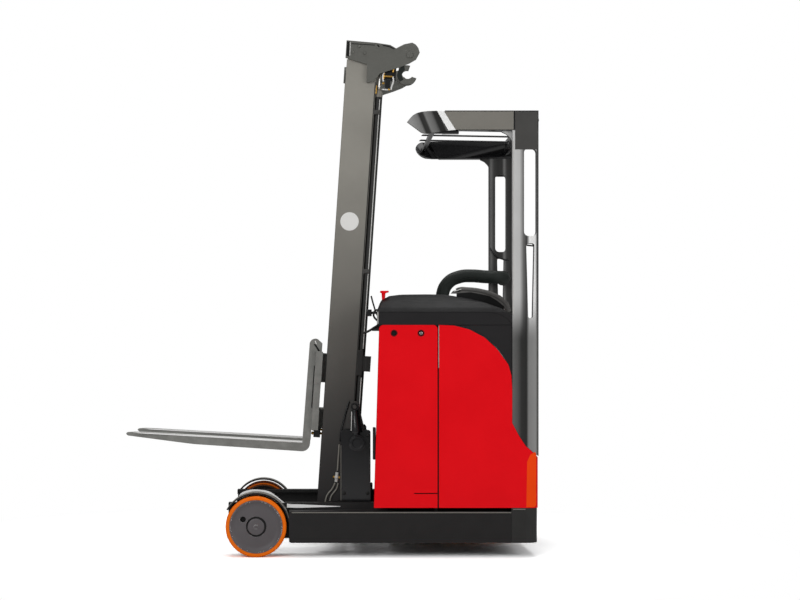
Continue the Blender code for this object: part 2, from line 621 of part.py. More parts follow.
def cockpit():
    """Floor, seat base with its pad, and the dash with its wheel column."""
    floor = FRAME_TOP + GAP
    wide = WALL - GAP
    platform = box("platform", (COCKPIT_FRONT_X, REAR_X - 0.100), (-wide, SEAT_EDGE - 0.004),
                   (floor, floor + 0.035))
    finish(round_edges(platform, 0.006, 1), "black_frame")
    base_rear, base_outside, wall = REAR_X - 0.005, wide - 0.045, 0.012
    base = box("seat_base", (COCKPIT_FRONT_X, base_rear), (SEAT_EDGE, base_outside), (floor, SEAT_TOP))
    cut(base, box("seat_base_hollow", (COCKPIT_FRONT_X + wall, base_rear - wall),
                  (SEAT_EDGE + wall, base_outside - wall), (floor - 0.1, SEAT_TOP - wall)))
    finish(base, "black_plastic")
    pad = box("seat_pad", (COCKPIT_FRONT_X + 0.040, REAR_X - 0.060), (SEAT_EDGE + 0.010, wide - 0.080),
              (SEAT_TOP + GAP, SEAT_TOP + PAD_THICKNESS))
    finish(round_edges(pad, 0.025, 3), "soft_black")
    finish(dash_shape("dash_console", 0.0), "black_plastic")
    hub = Vector((DASH_REAR_X - 0.035, HUB_Y, PANEL_TOP - 0.010))
    lean = Vector((0.20, 0.10, 1.0)).normalized()
    column = rod("steering_column", hub - lean * 0.120, hub - lean * 0.0125, COLUMN_RADIUS)
    cut(column, dash_shape("column_foot", GAP * 2))
    finish(column, "black_plastic")
    return hub, lean


def steering_wheel(hub, lean):
    """Small wheel with three spokes, turning about the leaning column."""
    steps, sides, radius = 24, 8, RIM_THICKNESS / 2
    rim = bmesh.new()
    rings = []
    for i in range(steps):
        around = 2 * pi * i / steps
        ring = []
        for k in range(sides):
            reach = RIM_RADIUS + radius * cos(2 * pi * k / sides)
            rise = radius * sin(2 * pi * k / sides)
            ring.append(rim.verts.new((reach * cos(around), reach * sin(around), rise)))
        rings.append(ring)
    for i in range(steps):
        following = rings[(i + 1) % steps]
        for k in range(sides):
            beside = (k + 1) % sides
            rim.faces.new((rings[i][k], following[k], following[beside], rings[i][beside]))
    rim.transform(Matrix.Translation(hub) @ lean.to_track_quat("Z", "Y").to_matrix().to_4x4())
    mesh = bpy.data.meshes.new("steering_wheel")
    rim.to_mesh(mesh)
    rim.free()
    wheel = add_object("steering_wheel", mesh, origin=hub)
    join(wheel, rod("steering_hub", hub - lean * 0.012, hub + lean * 0.010, 0.030, sides=24))
    side = lean.cross(Vector((0, 1, 0))).normalized()
    across = side.cross(lean).normalized()
    for index in range(3):
        around = 2 * pi * index / 3 + 0.5
        spoke = side * cos(around) + across * sin(around)
        join(wheel, rod(f"steering_spoke_{index}", hub, hub + spoke * RIM_RADIUS, 0.008, sides=10))
    finish(wheel, "soft_black")


def cockpit_rails():
    """Grey edge band of the near cowl and the padded hoop beside the seat."""
    seat = HOOD_TOP + 0.0004
    upper = [(0.627, 0.014), (0.712, 0.031), (0.813, 0.014), (0.863, -0.011), (0.903, -0.046),
             (0.918, -0.087)]
    lower = [(0.892, -0.087), (0.880, -0.064), (0.846, -0.036), (0.808, -0.013), (0.712, 0.006)]
    band = [(x, HOOD_TOP + rise) for x, rise in upper + lower]
    rim = sheet("cowl_rim", [(0.615, seat), *band, (0.640, seat)],
                (-POCKET_HALF_WIDTH - 0.030, 0.004 - POCKET_HALF_WIDTH))
    finish(rim, "grey_trim")
    path = [(0.640, 0.140, -0.057), (0.634, 0.140, 0.028), (0.665, 0.140, 0.096), (0.730, 0.140, 0.130),
            (0.800, 0.140, 0.135), (0.880, 0.140, 0.118), (0.940, 0.140, 0.083), (0.975, 0.100, 0.053),
            (0.978, 0.025, 0.048)]  # x, inset from the side, rise above the hood
    hoop = tube("backrest_hoop", [(x, HALF_WIDTH - inset, HOOD_TOP + rise) for x, inset, rise in path],
                0.039, rounds=3)
    wide = WALL - GAP
    cut(hoop, box("hoop_end", (0.900, 1.100), (wide, wide + 0.1), (HOOD_TOP - 0.052, HOOD_TOP + 0.148)),
        sheet("hoop_foot", hood_section(GAP), (0.550, 0.760), "YZ"))
    finish(hoop, "soft_black")


def guard_post(name, side):
    """Rear post with its slots, tapering into the corner below the curve."""
    lift = GAP * 3
    top = ROOF_LOW - GAP
    outline = [(POST_FRONT_X, top), (POST_FRONT_X, PANEL_CURVE[POST_START][1])]
    outline += [(x + lift, z + lift) for x, z in PANEL_CURVE[POST_START + 1:-1]]
    outline += [(REAR_X, POST_LOW_END + 0.008), (REAR_X, top)]
    post = sheet("guard_post_" + name, outline, side_span(side, WALL, HALF_WIDTH))
    through = side_span(side, WALL - 0.02, HALF_WIDTH + 0.02)
    front, rear = SLOTS_X[name]
    slot = sheet("post_slot_" + name, rounded([
        (front, SLOT_LOW, 0.022), (rear, SLOT_LOW, 0.022), (rear, SLOT_TOP, 0.022),
        (front, SLOT_TOP, 0.022)]), through)
    middle = (front + rear) / 2
    gap = sheet("post_gap_" + name, rounded([
        (middle - 0.010, GAP_LOW, 0.008), (middle + 0.012, GAP_LOW, 0.008), (middle + 0.020, GAP_TOP, 0.012),
        (middle - 0.020, GAP_TOP, 0.012)]), through)
    gusset = sheet("post_gusset_" + name, [(POST_FRONT_X + x, top - drop) for x, drop in (
        (-0.050, 0.0005), (-0.048, 0.006), (-0.026, 0.016), (-0.008, 0.034), (0.002, 0.052),
        (0.002, 0.0005))], side_span(side, WALL + 0.001, WALL + 0.021))
    leg = box("post_leg_" + name, (REAR_X - 0.095, REAR_X - 0.010),
              side_span(side, WALL - 0.042, WALL - GAP), (FRAME_TOP + GAP, PANEL_TOP + 0.010))
    tie = box("post_tie_" + name, (REAR_X - 0.090, REAR_X - 0.055),
              side_span(side, WALL - 0.020, WALL + 0.010), (PANEL_TOP - 0.140, PANEL_TOP - 0.020))
    cut(post, slot, gap)
    join(post, gusset, leg, tie)
    finish(post, "black_frame")


VISOR = (  # top edge: x, inset from the side; foot: x, inset, drop below the roof's top
    ((0.620, 0.010), (0.675, 0.010, 0.093)), ((0.530, 0.010), (0.587, 0.016, 0.093)),
    ((0.472, 0.021), (0.549, 0.050, 0.092)), ((0.441, 0.089), (0.526, 0.098, 0.091)),
    ((0.427, 0.155), (0.498, 0.150, 0.088)), ((0.418, 0.218), (0.472, 0.218, 0.076)),
    ((0.411, 0.290), (0.444, 0.290, 0.044)), ((0.405, 0.366), (0.416, 0.366, 0.020)),
    ((0.401, HALF_WIDTH), (0.408, HALF_WIDTH, 0.016)))


def roof_frame():
    """Overhead guard: side rails, arched front visor, fore-and-aft bars and rear bar, welded."""
    rails = [sheet("roof_rail_" + name, [(0.564, GUARD_TOP), (0.623, ROOF_LOW), (REAR_X, ROOF_LOW),
                                         (REAR_X, GUARD_TOP)], side_span(side, WALL, HALF_WIDTH))
             for name, side in SIDES]
    strip = bmesh.new()
    pairs = []
    for sign, rows in ((1, VISOR), (-1, VISOR[-2::-1])):
        for (top_x, top_inset), (foot_x, foot_inset, drop) in rows:
            pairs.append((strip.verts.new((top_x, sign * (HALF_WIDTH - top_inset), GUARD_TOP - 0.002)),
                          strip.verts.new((foot_x, sign * (HALF_WIDTH - foot_inset), GUARD_TOP - drop))))
    for (top, foot), (next_top, next_foot) in zip(pairs, pairs[1:]):
        strip.faces.new((top, next_top, next_foot, foot))
    mesh = bpy.data.meshes.new("roof_visor")
    strip.to_mesh(mesh)
    strip.free()
    visor = add_object("roof_visor", mesh)
    thick = visor.modifiers.new("thickness", "SOLIDIFY")
    thick.thickness = 0.012
    thick.offset = 0.0
    thick.use_even_offset = True
    rear_half = HALF_WIDTH - 0.030
    rear = box("roof_rear_bar", (REAR_X - SKIN, REAR_X - 0.002), (-rear_half, rear_half),
               (ROOF_LOW + 0.015, GUARD_TOP - 0.004))
    frame = rails[0]
    frame.name = "roof_frame"
    join(frame, rear, rails[1], visor)
    for index, front in enumerate((0.440, 0.415, 0.405, 0.415, 0.440)):
        y = (index - 2) * 0.35 * HALF_WIDTH
        join(frame, rod(f"roof_bar_{index}", (front, y, GUARD_TOP - 0.009),
                        (REAR_X - 0.020, y, GUARD_TOP - 0.020), ROOF_BAR_RADIUS, sides=12))
    finish(frame, "black_frame")


def channel(name, face, inside, front, rear, low, high):
    """A mast channel's web with its two flanges, open to the truck's middle."""
    side = 1 if face > 0 else -1
    web = box(name, (front, rear), side_span(side, abs(face) - WEB, abs(face)), (low, high), "mast")
    flanges = [box(f"{name}_flange_{index}", span, side_span(side, abs(inside), abs(face) - 0.002),
                   (low, high), "mast")
               for index, span in enumerate(((front, front + FLANGE), (rear - FLANGE, rear)))]
    return join(web, *flanges)


def outer_channel(name, side):
    """One outer mast channel with the bracket and pin for its tilt cylinder."""
    web = channel("outer_channel_" + name, side * OUTER_FACE, side * OUTER_INSIDE, OUTER_FRONT_U,
                  OUTER_REAR_U, OUTER_LOW, OUTER_HIGH)
    head = MAST_INVERSE @ TILT_HEAD
    horn = sheet("tilt_horn_" + name, rounded([
        (0.060, 0.430, 0), (head.x + 0.060, 0.430, 0.008), (head.x + 0.016, head.z + 0.026, 0.014),
        (head.x - 0.014, head.z + 0.030, 0.010), (0.060, 0.500, 0)], 4),
        side_span(side, OUTER_FACE - 0.003, PLATE_OUTSIDE), "XZ", "mast")
    pin = pin_y("tilt_head_pin_" + name, head.x, head.z, HEAD_PIN,
                side_span(side, PLATE_INSIDE, TILT_Y + TILT_WIDTH / 2 + 0.004), "mast", 24)
    hole = pin_y("pivot_hole_" + name, 0.0, 0.0, PIN_RADIUS + RUNNING,
                 side_span(side, OUTER_FACE - 0.05, OUTER_FACE + 0.01), "mast")
    join(web, horn, pin)
    cut(web, hole)
    finish(web, "mast_steel")


def lift_cylinder(name, side):
    """The lift barrel on the outer channel and the rod that raises the inner mast."""
    y = side * LIFT_Y
    barrel = rod("lift_barrel_" + name, (LIFT_U, y, LIFT_LOW), (LIFT_U, y, LIFT_TOP), LIFT_RADIUS, "mast")
    cut(barrel, rod("lift_bore_" + name, (LIFT_U, y, LIFT_LOW + 0.020), (LIFT_U, y, LIFT_TOP + 0.1),
                    LIFT_ROD + RUNNING, "mast"))
    finish(barrel, "black_frame")
    piston = rod("lift_rod_" + name, (LIFT_U, y, LIFT_LOW + 0.050), (LIFT_U, y, CROWN_CAP_LOW - GAP),
                 LIFT_ROD, "mast", sides=20)
    finish(piston, "chrome_rod")


def outer_crossbars():
    half = LIFT_Y - LIFT_RADIUS - 0.0005
    for name, low, high in (("low", 0.020, 0.110), ("middle", OUTER_HIGH - 1.105, OUTER_HIGH - 1.025),
                            ("high", OUTER_HIGH - 0.265, OUTER_HIGH - 0.185)):
        bar = box("outer_crossbar_" + name, (OUTER_REAR_U + GAP, OUTER_REAR_U + 0.016), (-half, half),
                  (low, high), "mast")
        finish(round_edges(bar, 0.003, 1), "mast_steel")


def inner_channel(name, side):
    """One inner mast channel with the roller at its foot that runs in the outer channel."""
    web = channel("inner_channel_" + name, side * INNER_FACE, side * INNER_INSIDE, INNER_FRONT_U,
                  INNER_REAR_U, INNER_LOW, INNER_HIGH - GAP)
    roller = pin_y("inner_roller_" + name, (OUTER_FRONT_U + OUTER_REAR_U) / 2, -0.010,
                   (OUTER_REAR_U - OUTER_FRONT_U) / 2 - FLANGE - RUNNING,
                   side_span(side, INNER_FACE - 0.004, OUTER_FACE - WEB - 0.006), "mast")
    join(web, roller)
    finish(web, "mast_steel")


def inner_crossbars():
    """The foot bar with the free-lift barrel on it, and the head bar."""
    low = INNER_LOW + 0.002
    between_webs = INNER_FACE - WEB - GAP
    foot = box("free_lift_cylinder", (0.005, 0.055), (-INNER_INSIDE, INNER_INSIDE), (low, low + 0.046),
               "mast")
    ends = box("inner_crossbar_ends", (0.010, 0.050), (-between_webs, between_webs),
               (low + 0.004, low + 0.042), "mast")
    barrel = rod("free_lift_barrel", (FREE_U, 0.0, INNER_LOW + 0.010), (FREE_U, 0.0, FREE_TOP), FREE_RADIUS,
                 "mast", sides=32)
    bore = rod("free_lift_bore", (FREE_U, 0.0, FREE_LOW + 0.020), (FREE_U, 0.0, FREE_TOP + 0.1),
               FREE_ROD + RUNNING, "mast")
    join(foot, ends, barrel)
    cut(foot, bore)
    finish(foot, "black_frame")
    head = box("inner_crosshead", (INNER_FRONT_U, INNER_REAR_U - 0.030), (-INNER_FACE, INNER_FACE),
               (INNER_HIGH, INNER_HIGH + 0.070), "mast")
    finish(round_edges(head, 0.004, 1), "mast_steel")


def crown_plate(name, side):
    """Top plate of the inner mast that reaches back over the lift rod; the left one holds a hose guide."""
    outline = [(u, INNER_HIGH + rise) for u, rise in (
        (-0.065, 0.077), (0.084, 0.074), (0.155, 0.068), (0.186, 0.053), (0.225, 0.076), (0.265, 0.087),
        (0.284, 0.078), (0.298, 0.061), (0.306, 0.039), (0.290, 0.004), (0.257, -0.018), (0.212, -0.039),
        (0.114, -0.078), (0.082, -0.121), (0.049, -0.128), (0.046, -0.037), (-0.052, -0.013),
        (-0.065, -0.010))]
    outside = CROWN_INSIDE + CROWN_THICKNESS
    weld = CROWN_INSIDE + 0.003
    plate = sheet("crown_plate_" + name, outline, side_span(side, CROWN_INSIDE, outside), "XZ", "mast")
    bridge = box("crown_bridge_" + name, (-0.048, 0.058), side_span(side, INNER_FACE + GAP, weld),
                 (OUTER_HIGH + 0.012, INNER_HIGH + 0.066), "mast")
    cap = box("crown_rod_cap_" + name, (LIFT_U - 0.0125, LIFT_U + 0.028),
              side_span(side, LIFT_Y - 0.022, weld), (CROWN_CAP_LOW, INNER_HIGH + 0.040), "mast")
    pin = pin_y("crown_pin_" + name, 0.257, INNER_HIGH + 0.025, 0.016,
                side_span(side, CROWN_INSIDE - 0.020, outside + 0.006), "mast", 24)
    join(plate, bridge, cap, pin)
    if name == "left":
        centre = (0.250, INNER_HIGH - 0.076)
        outer, inner = 0.050, 0.025
        neck = [(centre[0] - 0.014, centre[1] + 0.064), (centre[0] - 0.044, centre[1] + 0.053)]
        join(plate, sheet("crown_hose_guide", arc(centre, outer, 75, 115, 4) + neck
                          + arc(centre, outer, 150, 345, 13) + arc(centre, inner, 345, 75, 14),
                          side_span(side, CROWN_INSIDE - 0.024, CROWN_INSIDE + 0.002), "XZ", "mast"))
    finish(plate, "mast_steel")


def free_lift_head():
    """Rod, sheave yoke and chains of the free-lift stage."""
    piston = rod("free_lift_rod", (FREE_U, 0.0, FREE_LOW + 0.400), (FREE_U, 0.0, SHEAVE_W), FREE_ROD, "mast")
    yoke = box("sheave_yoke", (FREE_U - 0.022, FREE_U + 0.022), (-0.040, 0.040),
               (SHEAVE_W - 0.030, SHEAVE_W + 0.030), "mast")
    join(piston, yoke)
    outer = SHEAVE_RADIUS + CHAIN_THICKNESS / 2
    inner = SHEAVE_RADIUS - CHAIN_THICKNESS / 2
    outline = ([(FREE_U + outer, CHAIN_REAR_W)] + arc((FREE_U, SHEAVE_W), outer, 0, 180, 16)
               + [(FREE_U - outer, CHAIN_FRONT_W), (FREE_U - inner, CHAIN_FRONT_W)]
               + arc((FREE_U, SHEAVE_W), inner, 180, 0, 16) + [(FREE_U + inner, CHAIN_REAR_W)])
    for name, side in SIDES:
        join(piston, pin_y("sheave_" + name, FREE_U, SHEAVE_W, inner - GAP,
                           side_span(side, 0.036, CHAIN_Y + 0.012), "mast"))
        chain = sheet("lift_chain_" + name, outline,
                      side_span(side, CHAIN_Y - CHAIN_WIDTH / 2, CHAIN_Y + CHAIN_WIDTH / 2), "XZ", "mast")
        finish(chain, "chain_steel")
    finish(piston, "chrome_rod")


def fork_carriage():
    """Two fork bars on side plates whose rollers run in the inner channels."""
    across = (-BAR_HALF_WIDTH, BAR_HALF_WIDTH)
    depth = (BAR_FRONT_U, BAR_REAR_U)
    carriage = box("fork_carriage", depth, across, (UPPER_BAR_LOW, UPPER_BAR_TOP), "mast")
    join(carriage, box("fork_bar_lower", depth, across, (LOWER_BAR_LOW, LOWER_BAR_TOP), "mast"))
    weld, notch, rear = BAR_REAR_U - 0.006, OUTER_FRONT_U + 0.005, 0.055
    low, high = LOWER_BAR_LOW + 0.005, UPPER_BAR_TOP - 0.006
    plate_inside = INNER_INSIDE - 0.030
    for name, side in SIDES:
        plate = sheet("roller_plate_" + name, rounded([
            (weld, low, 0), (rear, low + 0.015, 0.020), (rear, high - 0.002, 0.020), (weld, high, 0),
            (weld, UPPER_BAR_LOW + 0.006, 0), (notch, UPPER_BAR_LOW + 0.006, 0.010),
            (notch, LOWER_BAR_TOP + 0.004, 0.010), (weld, LOWER_BAR_TOP + 0.004, 0)]),
            side_span(side, plate_inside, plate_inside + 0.020), "XZ", "mast")
        upright = box("carriage_side_" + name, (BAR_FRONT_U + 0.001, BAR_REAR_U - 0.001),
                      side_span(side, BAR_HALF_WIDTH - 0.017, BAR_HALF_WIDTH - 0.001),
                      (LOWER_BAR_TOP - 0.004, UPPER_BAR_LOW + 0.004), "mast")
        join(carriage, plate, upright)
        for index, w in enumerate((low + 0.070, high - 0.057)):
            join(carriage, pin_y(f"carriage_roller_{name}_{index}", (INNER_FRONT_U + INNER_REAR_U) / 2, w,
                                 (INNER_REAR_U - INNER_FRONT_U) / 2 - FLANGE - RUNNING,
                                 side_span(side, plate_inside + 0.017, INNER_FACE - WEB - 0.006), "mast"))
    finish(carriage, "fork_steel")


def fork(name, side):
    """One fork: tapered blade, heel, and a shank that hooks over the upper bar."""
    low = BLADE_TOP_W - BLADE_THICKNESS
    tip = BLADE_TOP_W - 0.012
    heel = 0.040
    taper_u = BLADE_TIP_U + 0.271
    seat = UPPER_BAR_TOP + GAP
    hook_u = BAR_REAR_U - 0.006
    outline = ([(BLADE_TIP_U, tip), (BLADE_TIP_U + 0.012, tip - TIP_THICKNESS), (taper_u + 0.080, low)]
               + arc((SHANK_REAR_U - heel, low + heel), heel, 270, 360, 6)
               + [(SHANK_REAR_U, seat), (hook_u, seat), (hook_u, HOOK_TOP_W - 0.022)]
               + arc((SHANK_FRONT_U + 0.034, HOOK_TOP_W - 0.030), 0.030, 70, 170, 6)
               + arc((SHANK_FRONT_U - 0.012, BLADE_TOP_W + 0.012), 0.012, 0, -90, 4)
               + [(BLADE_TIP_U + 0.040, BLADE_TOP_W), (BLADE_TIP_U + 0.006, BLADE_TOP_W - 0.004)])
    near, far = side * FORK_Y - FORK_WIDTH / 2, side * FORK_Y + FORK_WIDTH / 2
    tip_inset, spare = 0.026, 0.010
    blade = sheet("fork_" + name, outline, (near, far), "XZ", "mast")
    plan = sheet("fork_plan_" + name, rounded([
        (0.1, near - spare, 0), (0.1, far + spare, 0), (taper_u, far + spare, 0), (taper_u, far, 0),
        (BLADE_TIP_U, far - tip_inset, 0.018), (BLADE_TIP_U, near + tip_inset, 0.018), (taper_u, near, 0),
        (taper_u, near - spare, 0)]), (low - 0.1, HOOK_TOP_W + 0.1), "XY", "mast")
    keep_common(blade, plan)
    finish(blade, "fork_steel")


def reach_carriage():
    """Welded frame on rollers between the arms that carries the mast's tilt pivot."""
    track_z = (CHANNEL_BOTTOM + CHANNEL_TOP) / 2
    roller_radius = (CHANNEL_TOP - CHANNEL_BOTTOM) / 2 - CHANNEL_WALL - RUNNING
    plates = []
    for name, side in SIDES:
        plate = sheet("carriage_plate_" + name, rounded([
            (-0.048, CARRIAGE_LOW, 0.040), (0.235, CARRIAGE_LOW, 0.030), (0.235, BOX_LOW - 0.012, 0),
            (BOX_REAR_X, BOX_LOW, 0), (BOX_REAR_X, BOX_TOP, 0.012), (BOX_FRONT_X, BOX_TOP, 0.012),
            (BOX_FRONT_X, BOX_LOW, 0.020), (-0.048, BOX_LOW, 0.060)]),
            side_span(side, PLATE_INSIDE, PLATE_OUTSIDE))
        join(plate, pin_y("carriage_pivot_" + name, PIVOT.x, PIVOT.z, PIN_RADIUS,
                          side_span(side, OUTER_FACE - WEB + 0.001, PLATE_INSIDE + 0.006)),
             pin_y("carriage_boss_" + name, TILT_FOOT.x, TILT_FOOT.z, FOOT_PIN,
                   side_span(side, PLATE_INSIDE + 0.004, TILT_Y + TILT_WIDTH / 2 + 0.006)))
        for index, x in enumerate(ROLLERS_X):
            join(plate, pin_y(f"reach_roller_{name}_{index}", x, track_z, roller_radius,
                              side_span(side, CHANNEL_INSIDE + 0.005, ARM_INSIDE - CHANNEL_WALL - 0.006)),
                 pin_y(f"reach_stub_{name}_{index}", x, track_z, 0.028,
                       side_span(side, PLATE_INSIDE + 0.002, CHANNEL_INSIDE + 0.008)))
        plates.append(plate)
    frame = plates[0]
    frame.name = "carriage_frame"
    wide = PLATE_INSIDE + 0.003
    back = box("carriage_back", (BOX_REAR_X - 0.013, BOX_REAR_X - 0.001), (-wide, wide),
               (BOX_LOW - 0.022, BOX_TOP - 0.020))
    beam = box("carriage_beam", (BOX_REAR_X - 0.058, BOX_REAR_X - 0.018), (-wide, wide),
               (CARRIAGE_LOW + 0.006, CARRIAGE_LOW + 0.060))
    riser = box("carriage_riser", (BOX_REAR_X - 0.025, BOX_REAR_X - 0.001 - GAP),
                (0.001 - wide, wide - 0.001), (CARRIAGE_LOW + 0.020, BOX_LOW + 0.038))
    join(frame, back, beam, riser, plates[1])
    finish(frame, "black_frame")


def reach_cylinder():
    """The barrel on the base frame's lug and the rod that pushes the carriage forward."""
    end = (REACH_REAR_X - 0.012, REACH_Y, REACH_Z)
    barrel = rod("reach_barrel", (REACH_FRONT_X, REACH_Y, REACH_Z), (REACH_REAR_X, REACH_Y, REACH_Z),
                 REACH_RADIUS)
    cut(barrel, rod("reach_bore", (REACH_FRONT_X - 0.1, REACH_Y, REACH_Z), end, REACH_ROD + RUNNING))
    finish(barrel, "black_frame")
    piston = rod("reach_rod", (BOX_REAR_X - 0.001 + GAP, REACH_Y, REACH_Z),
                 (REACH_REAR_X - 0.020, REACH_Y, REACH_Z), REACH_ROD, origin=end)
    finish(piston, "chrome_rod")


def tilt_cylinder(name, side):
    """Tapered barrel on the carriage boss, and its rod that meets the mast's bracket."""
    middle = Vector((0.0, side * TILT_Y, 0.0))
    foot, head = TILT_FOOT + middle, TILT_HEAD + middle
    along = (head - foot).normalized()
    near, far = side_span(side, TILT_Y - TILT_WIDTH / 2, TILT_Y + TILT_WIDTH / 2)
    through = (near - 0.02, far + 0.02)
    barrel = pin_y("tilt_barrel_" + name, foot.x, foot.z, FOOT_EYE, (near, far), origin=foot)
    body = rod("tilt_body_" + name, foot + along * 0.010, foot + along * 0.125, TILT_BARREL)
    hole = pin_y("tilt_foot_hole_" + name, foot.x, foot.z, FOOT_PIN + RUNNING, through)
    bore = rod("tilt_bore_" + name, foot + along * 0.050, foot + along * 0.2, TILT_ROD + RUNNING)
    join(barrel, body)
    cut(barrel, hole, bore)
    finish(barrel, "black_frame")
    eye = pin_y("tilt_rod_" + name, head.x, head.z, HEAD_EYE, (near + 0.004, far - 0.004), origin=head)
    shaft = rod("tilt_shaft_" + name, foot + along * 0.056, head - along * 0.012, TILT_ROD)
    hole = pin_y("tilt_head_hole_" + name, head.x, head.z, HEAD_PIN + EYE_CLEARANCE, through)
    join(eye, shaft)
    cut(eye, hole)
    finish(eye, "chrome_rod")


bpy.context.view_layer.update()
MAST_INVERSE = MAST.matrix_world.inverted()

for side_name, side_sign in SIDES:
    support_arm(side_name, side_sign)
    load_wheel(side_name, side_sign)
    battery_cover(side_name, side_sign)
    side_panel(side_name, side_sign)
    corner_trim(side_name, side_sign)
    guard_post(side_name, side_sign)
    outer_channel(side_name, side_sign)
    lift_cylinder(side_name, side_sign)
    inner_channel(side_name, side_sign)
    crown_plate(side_name, side_sign)
    fork(side_name, side_sign)
    tilt_cylinder(side_name, side_sign)
base_frame()
drive_unit()
battery()
hood()
steering_wheel(*cockpit())
cockpit_rails()
roof_frame()
outer_crossbars()
inner_crossbars()
free_lift_head()
fork_carriage()
reach_carriage()
reach_cylinder()
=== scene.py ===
"""Dresses the reach truck: paint, mouldings, tyres, padding, hoses, chain and fasteners.

Metres, +Z up. The forks point to -X and the truck's left side is at -Y. Run as a script,
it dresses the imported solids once. Each group of pieces is an operator of its own.
"""

import math
import random

import bmesh
import bpy
from mathutils import Matrix, Vector


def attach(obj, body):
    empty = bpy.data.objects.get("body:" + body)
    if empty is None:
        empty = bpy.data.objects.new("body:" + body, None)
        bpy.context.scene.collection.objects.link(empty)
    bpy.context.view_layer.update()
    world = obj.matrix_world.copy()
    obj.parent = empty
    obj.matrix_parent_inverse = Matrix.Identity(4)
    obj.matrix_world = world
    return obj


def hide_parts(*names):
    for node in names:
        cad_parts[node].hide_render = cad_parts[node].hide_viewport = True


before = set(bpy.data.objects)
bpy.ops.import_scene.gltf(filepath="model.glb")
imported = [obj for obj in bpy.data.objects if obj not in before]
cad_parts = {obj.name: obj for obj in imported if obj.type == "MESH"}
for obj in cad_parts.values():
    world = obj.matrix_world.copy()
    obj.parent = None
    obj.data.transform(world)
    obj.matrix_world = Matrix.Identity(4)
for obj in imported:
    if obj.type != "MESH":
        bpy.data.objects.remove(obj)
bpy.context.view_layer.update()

bl_info = {
    "name": "Reach Truck Dressing",
    "version": (1, 0, 0),
    "blender": (4, 5, 0),
    "location": "View3D > Sidebar > Reach Truck",
    "description": "Finishes and fine pieces for a mast truck with reaching forks",
    "category": "Add Mesh",
}

# Each side of the truck, with the sign of its Y
SIDES = {"left": -1, "right": 1}

# The mast leans back about its pivot: u runs rearward and w runs up the mast
MAST_LEAN = math.radians(3.8)
MAST_PIVOT = Vector((0.0, 0.0, 0.2))
TO_MAST = Matrix.Translation(MAST_PIVOT) @ Matrix.Rotation(MAST_LEAN, 4, "Y")
MAST_TURN = TO_MAST.to_3x3()

# The middle of the round disc on the outer mast, in the mast's own axes
DISC_CENTRE = (0.01014, 0.35, 1.47091)

# The axes of the load wheels and of the drive unit
WHEEL_X, WHEEL_Y, WHEEL_Z = -0.355, 0.525, 0.15
DRIVE_X, DRIVE_Y = 0.78, 0.12

# The photograph: its size in pixels, and the point that the camera's axis meets
PHOTO_SIZE = (800, 600)
PHOTO_CENTRE = (320, 368)
METRES_A_PIXEL = 0.0049
NEAR_SIDE_Y = -0.57
CAMERA_DISTANCE = 7.95
CAMERA_X, CAMERA_Z = -0.041, 0.929


def srgb(red, green, blue):
    """A colour on a screen's 0 to 255 scale, as the linear values Blender takes."""
    shares = [value / 255 for value in (red, green, blue)]
    return tuple(s / 12.92 if s <= 0.04045 else ((s + 0.055) / 1.055) ** 2.4 for s in shares)


def colour_property(name, description, colour):
    return bpy.props.FloatVectorProperty(name=name, description=description, default=colour,
                                         subtype="COLOR", size=3, min=0.0, max=1.0)


def length_property(name, description, length):
    return bpy.props.FloatProperty(name=name, description=description, default=length,
                                   unit="LENGTH", min=0.0001, precision=4)


def power_property(name, description, power):
    return bpy.props.FloatProperty(name=name, description=description, default=power, unit="POWER")


class TruckColours(bpy.types.PropertyGroup):
    """The colours of the truck's finishes."""

    body_red: colour_property("Body red", "Paint of the side covers", srgb(238, 5, 20))
    frame_charcoal: colour_property("Frame charcoal", "Powder coat of the frame", srgb(40, 40, 39))
    hood_black: colour_property("Hood black", "Moulded hood and trims", srgb(38, 37, 38))
    trim_grey: colour_property("Trim grey", "Edge band of the cowl", srgb(104, 102, 100))
    # The mast's two colours are one paint with painted shade at its foot and painted light at its head,
    # faded by height
    mast_paint_and_foot_shade: colour_property("Mast dark", "Mast paint at its foot", srgb(40, 38, 38))
    mast_paint_and_head_light: colour_property("Mast pale", "Mast paint at its head", srgb(150, 147, 139))
    crown_grey: colour_property("Crown grey", "Paint of the mast's top plates", srgb(98, 98, 93))
    tyre_orange: colour_property("Tyre orange", "Cast polyurethane", srgb(243, 113, 5))
    disc_grey: colour_property("Disc grey", "Painted wheel discs", srgb(92, 88, 90))
    fork_grey: colour_property("Fork grey", "Worn paint of the forks", srgb(128, 128, 124))
    padding_green: colour_property("Padding", "Soft skin of hoop and seat", srgb(25, 31, 28))
    bright_steel: colour_property("Bright steel", "Rods, nuts and pins", srgb(200, 199, 196))
    brass: colour_property("Brass", "Unions and nipples", srgb(196, 152, 72))


class TruckSizes(bpy.types.PropertyGroup):
    """The sizes of the fine pieces."""

    edge_radius: length_property("Edge radius", "Rounding seen along sheet metal edges", 0.0022)
    link_pitch: length_property("Chain pitch", "Distance between two pins of the lift chains", 0.016)
    bolt_head: length_property("Bolt head", "Width across the corners of a bolt head", 0.016)


class TruckStudio(bpy.types.PropertyGroup):
    """The stage's light levels."""

    key_power: power_property("Key", "Power of the front light", 175.0)
    fill_power: power_property("Fill", "Power of the rear light", 80.0)
    top_power: power_property("Top", "Power of the overhead light", 140.0)
    sky_level: bpy.props.FloatProperty(name="Sky", description="Level of the even light",
                                       default=0.24)


# Shader tools

def shader_group(name, inputs, outputs):
    """A new shader group with float inputs and the given outputs, and its two end nodes."""
    tree = bpy.data.node_groups.new(name, "ShaderNodeTree")
    for label, value in inputs.items():
        socket = tree.interface.new_socket(label, in_out="INPUT", socket_type="NodeSocketFloat")
        socket.default_value = value
    for label, kind in outputs.items():
        tree.interface.new_socket(label, in_out="OUTPUT", socket_type="NodeSocket" + kind)
    return tree, tree.nodes.new("NodeGroupInput"), tree.nodes.new("NodeGroupOutput")


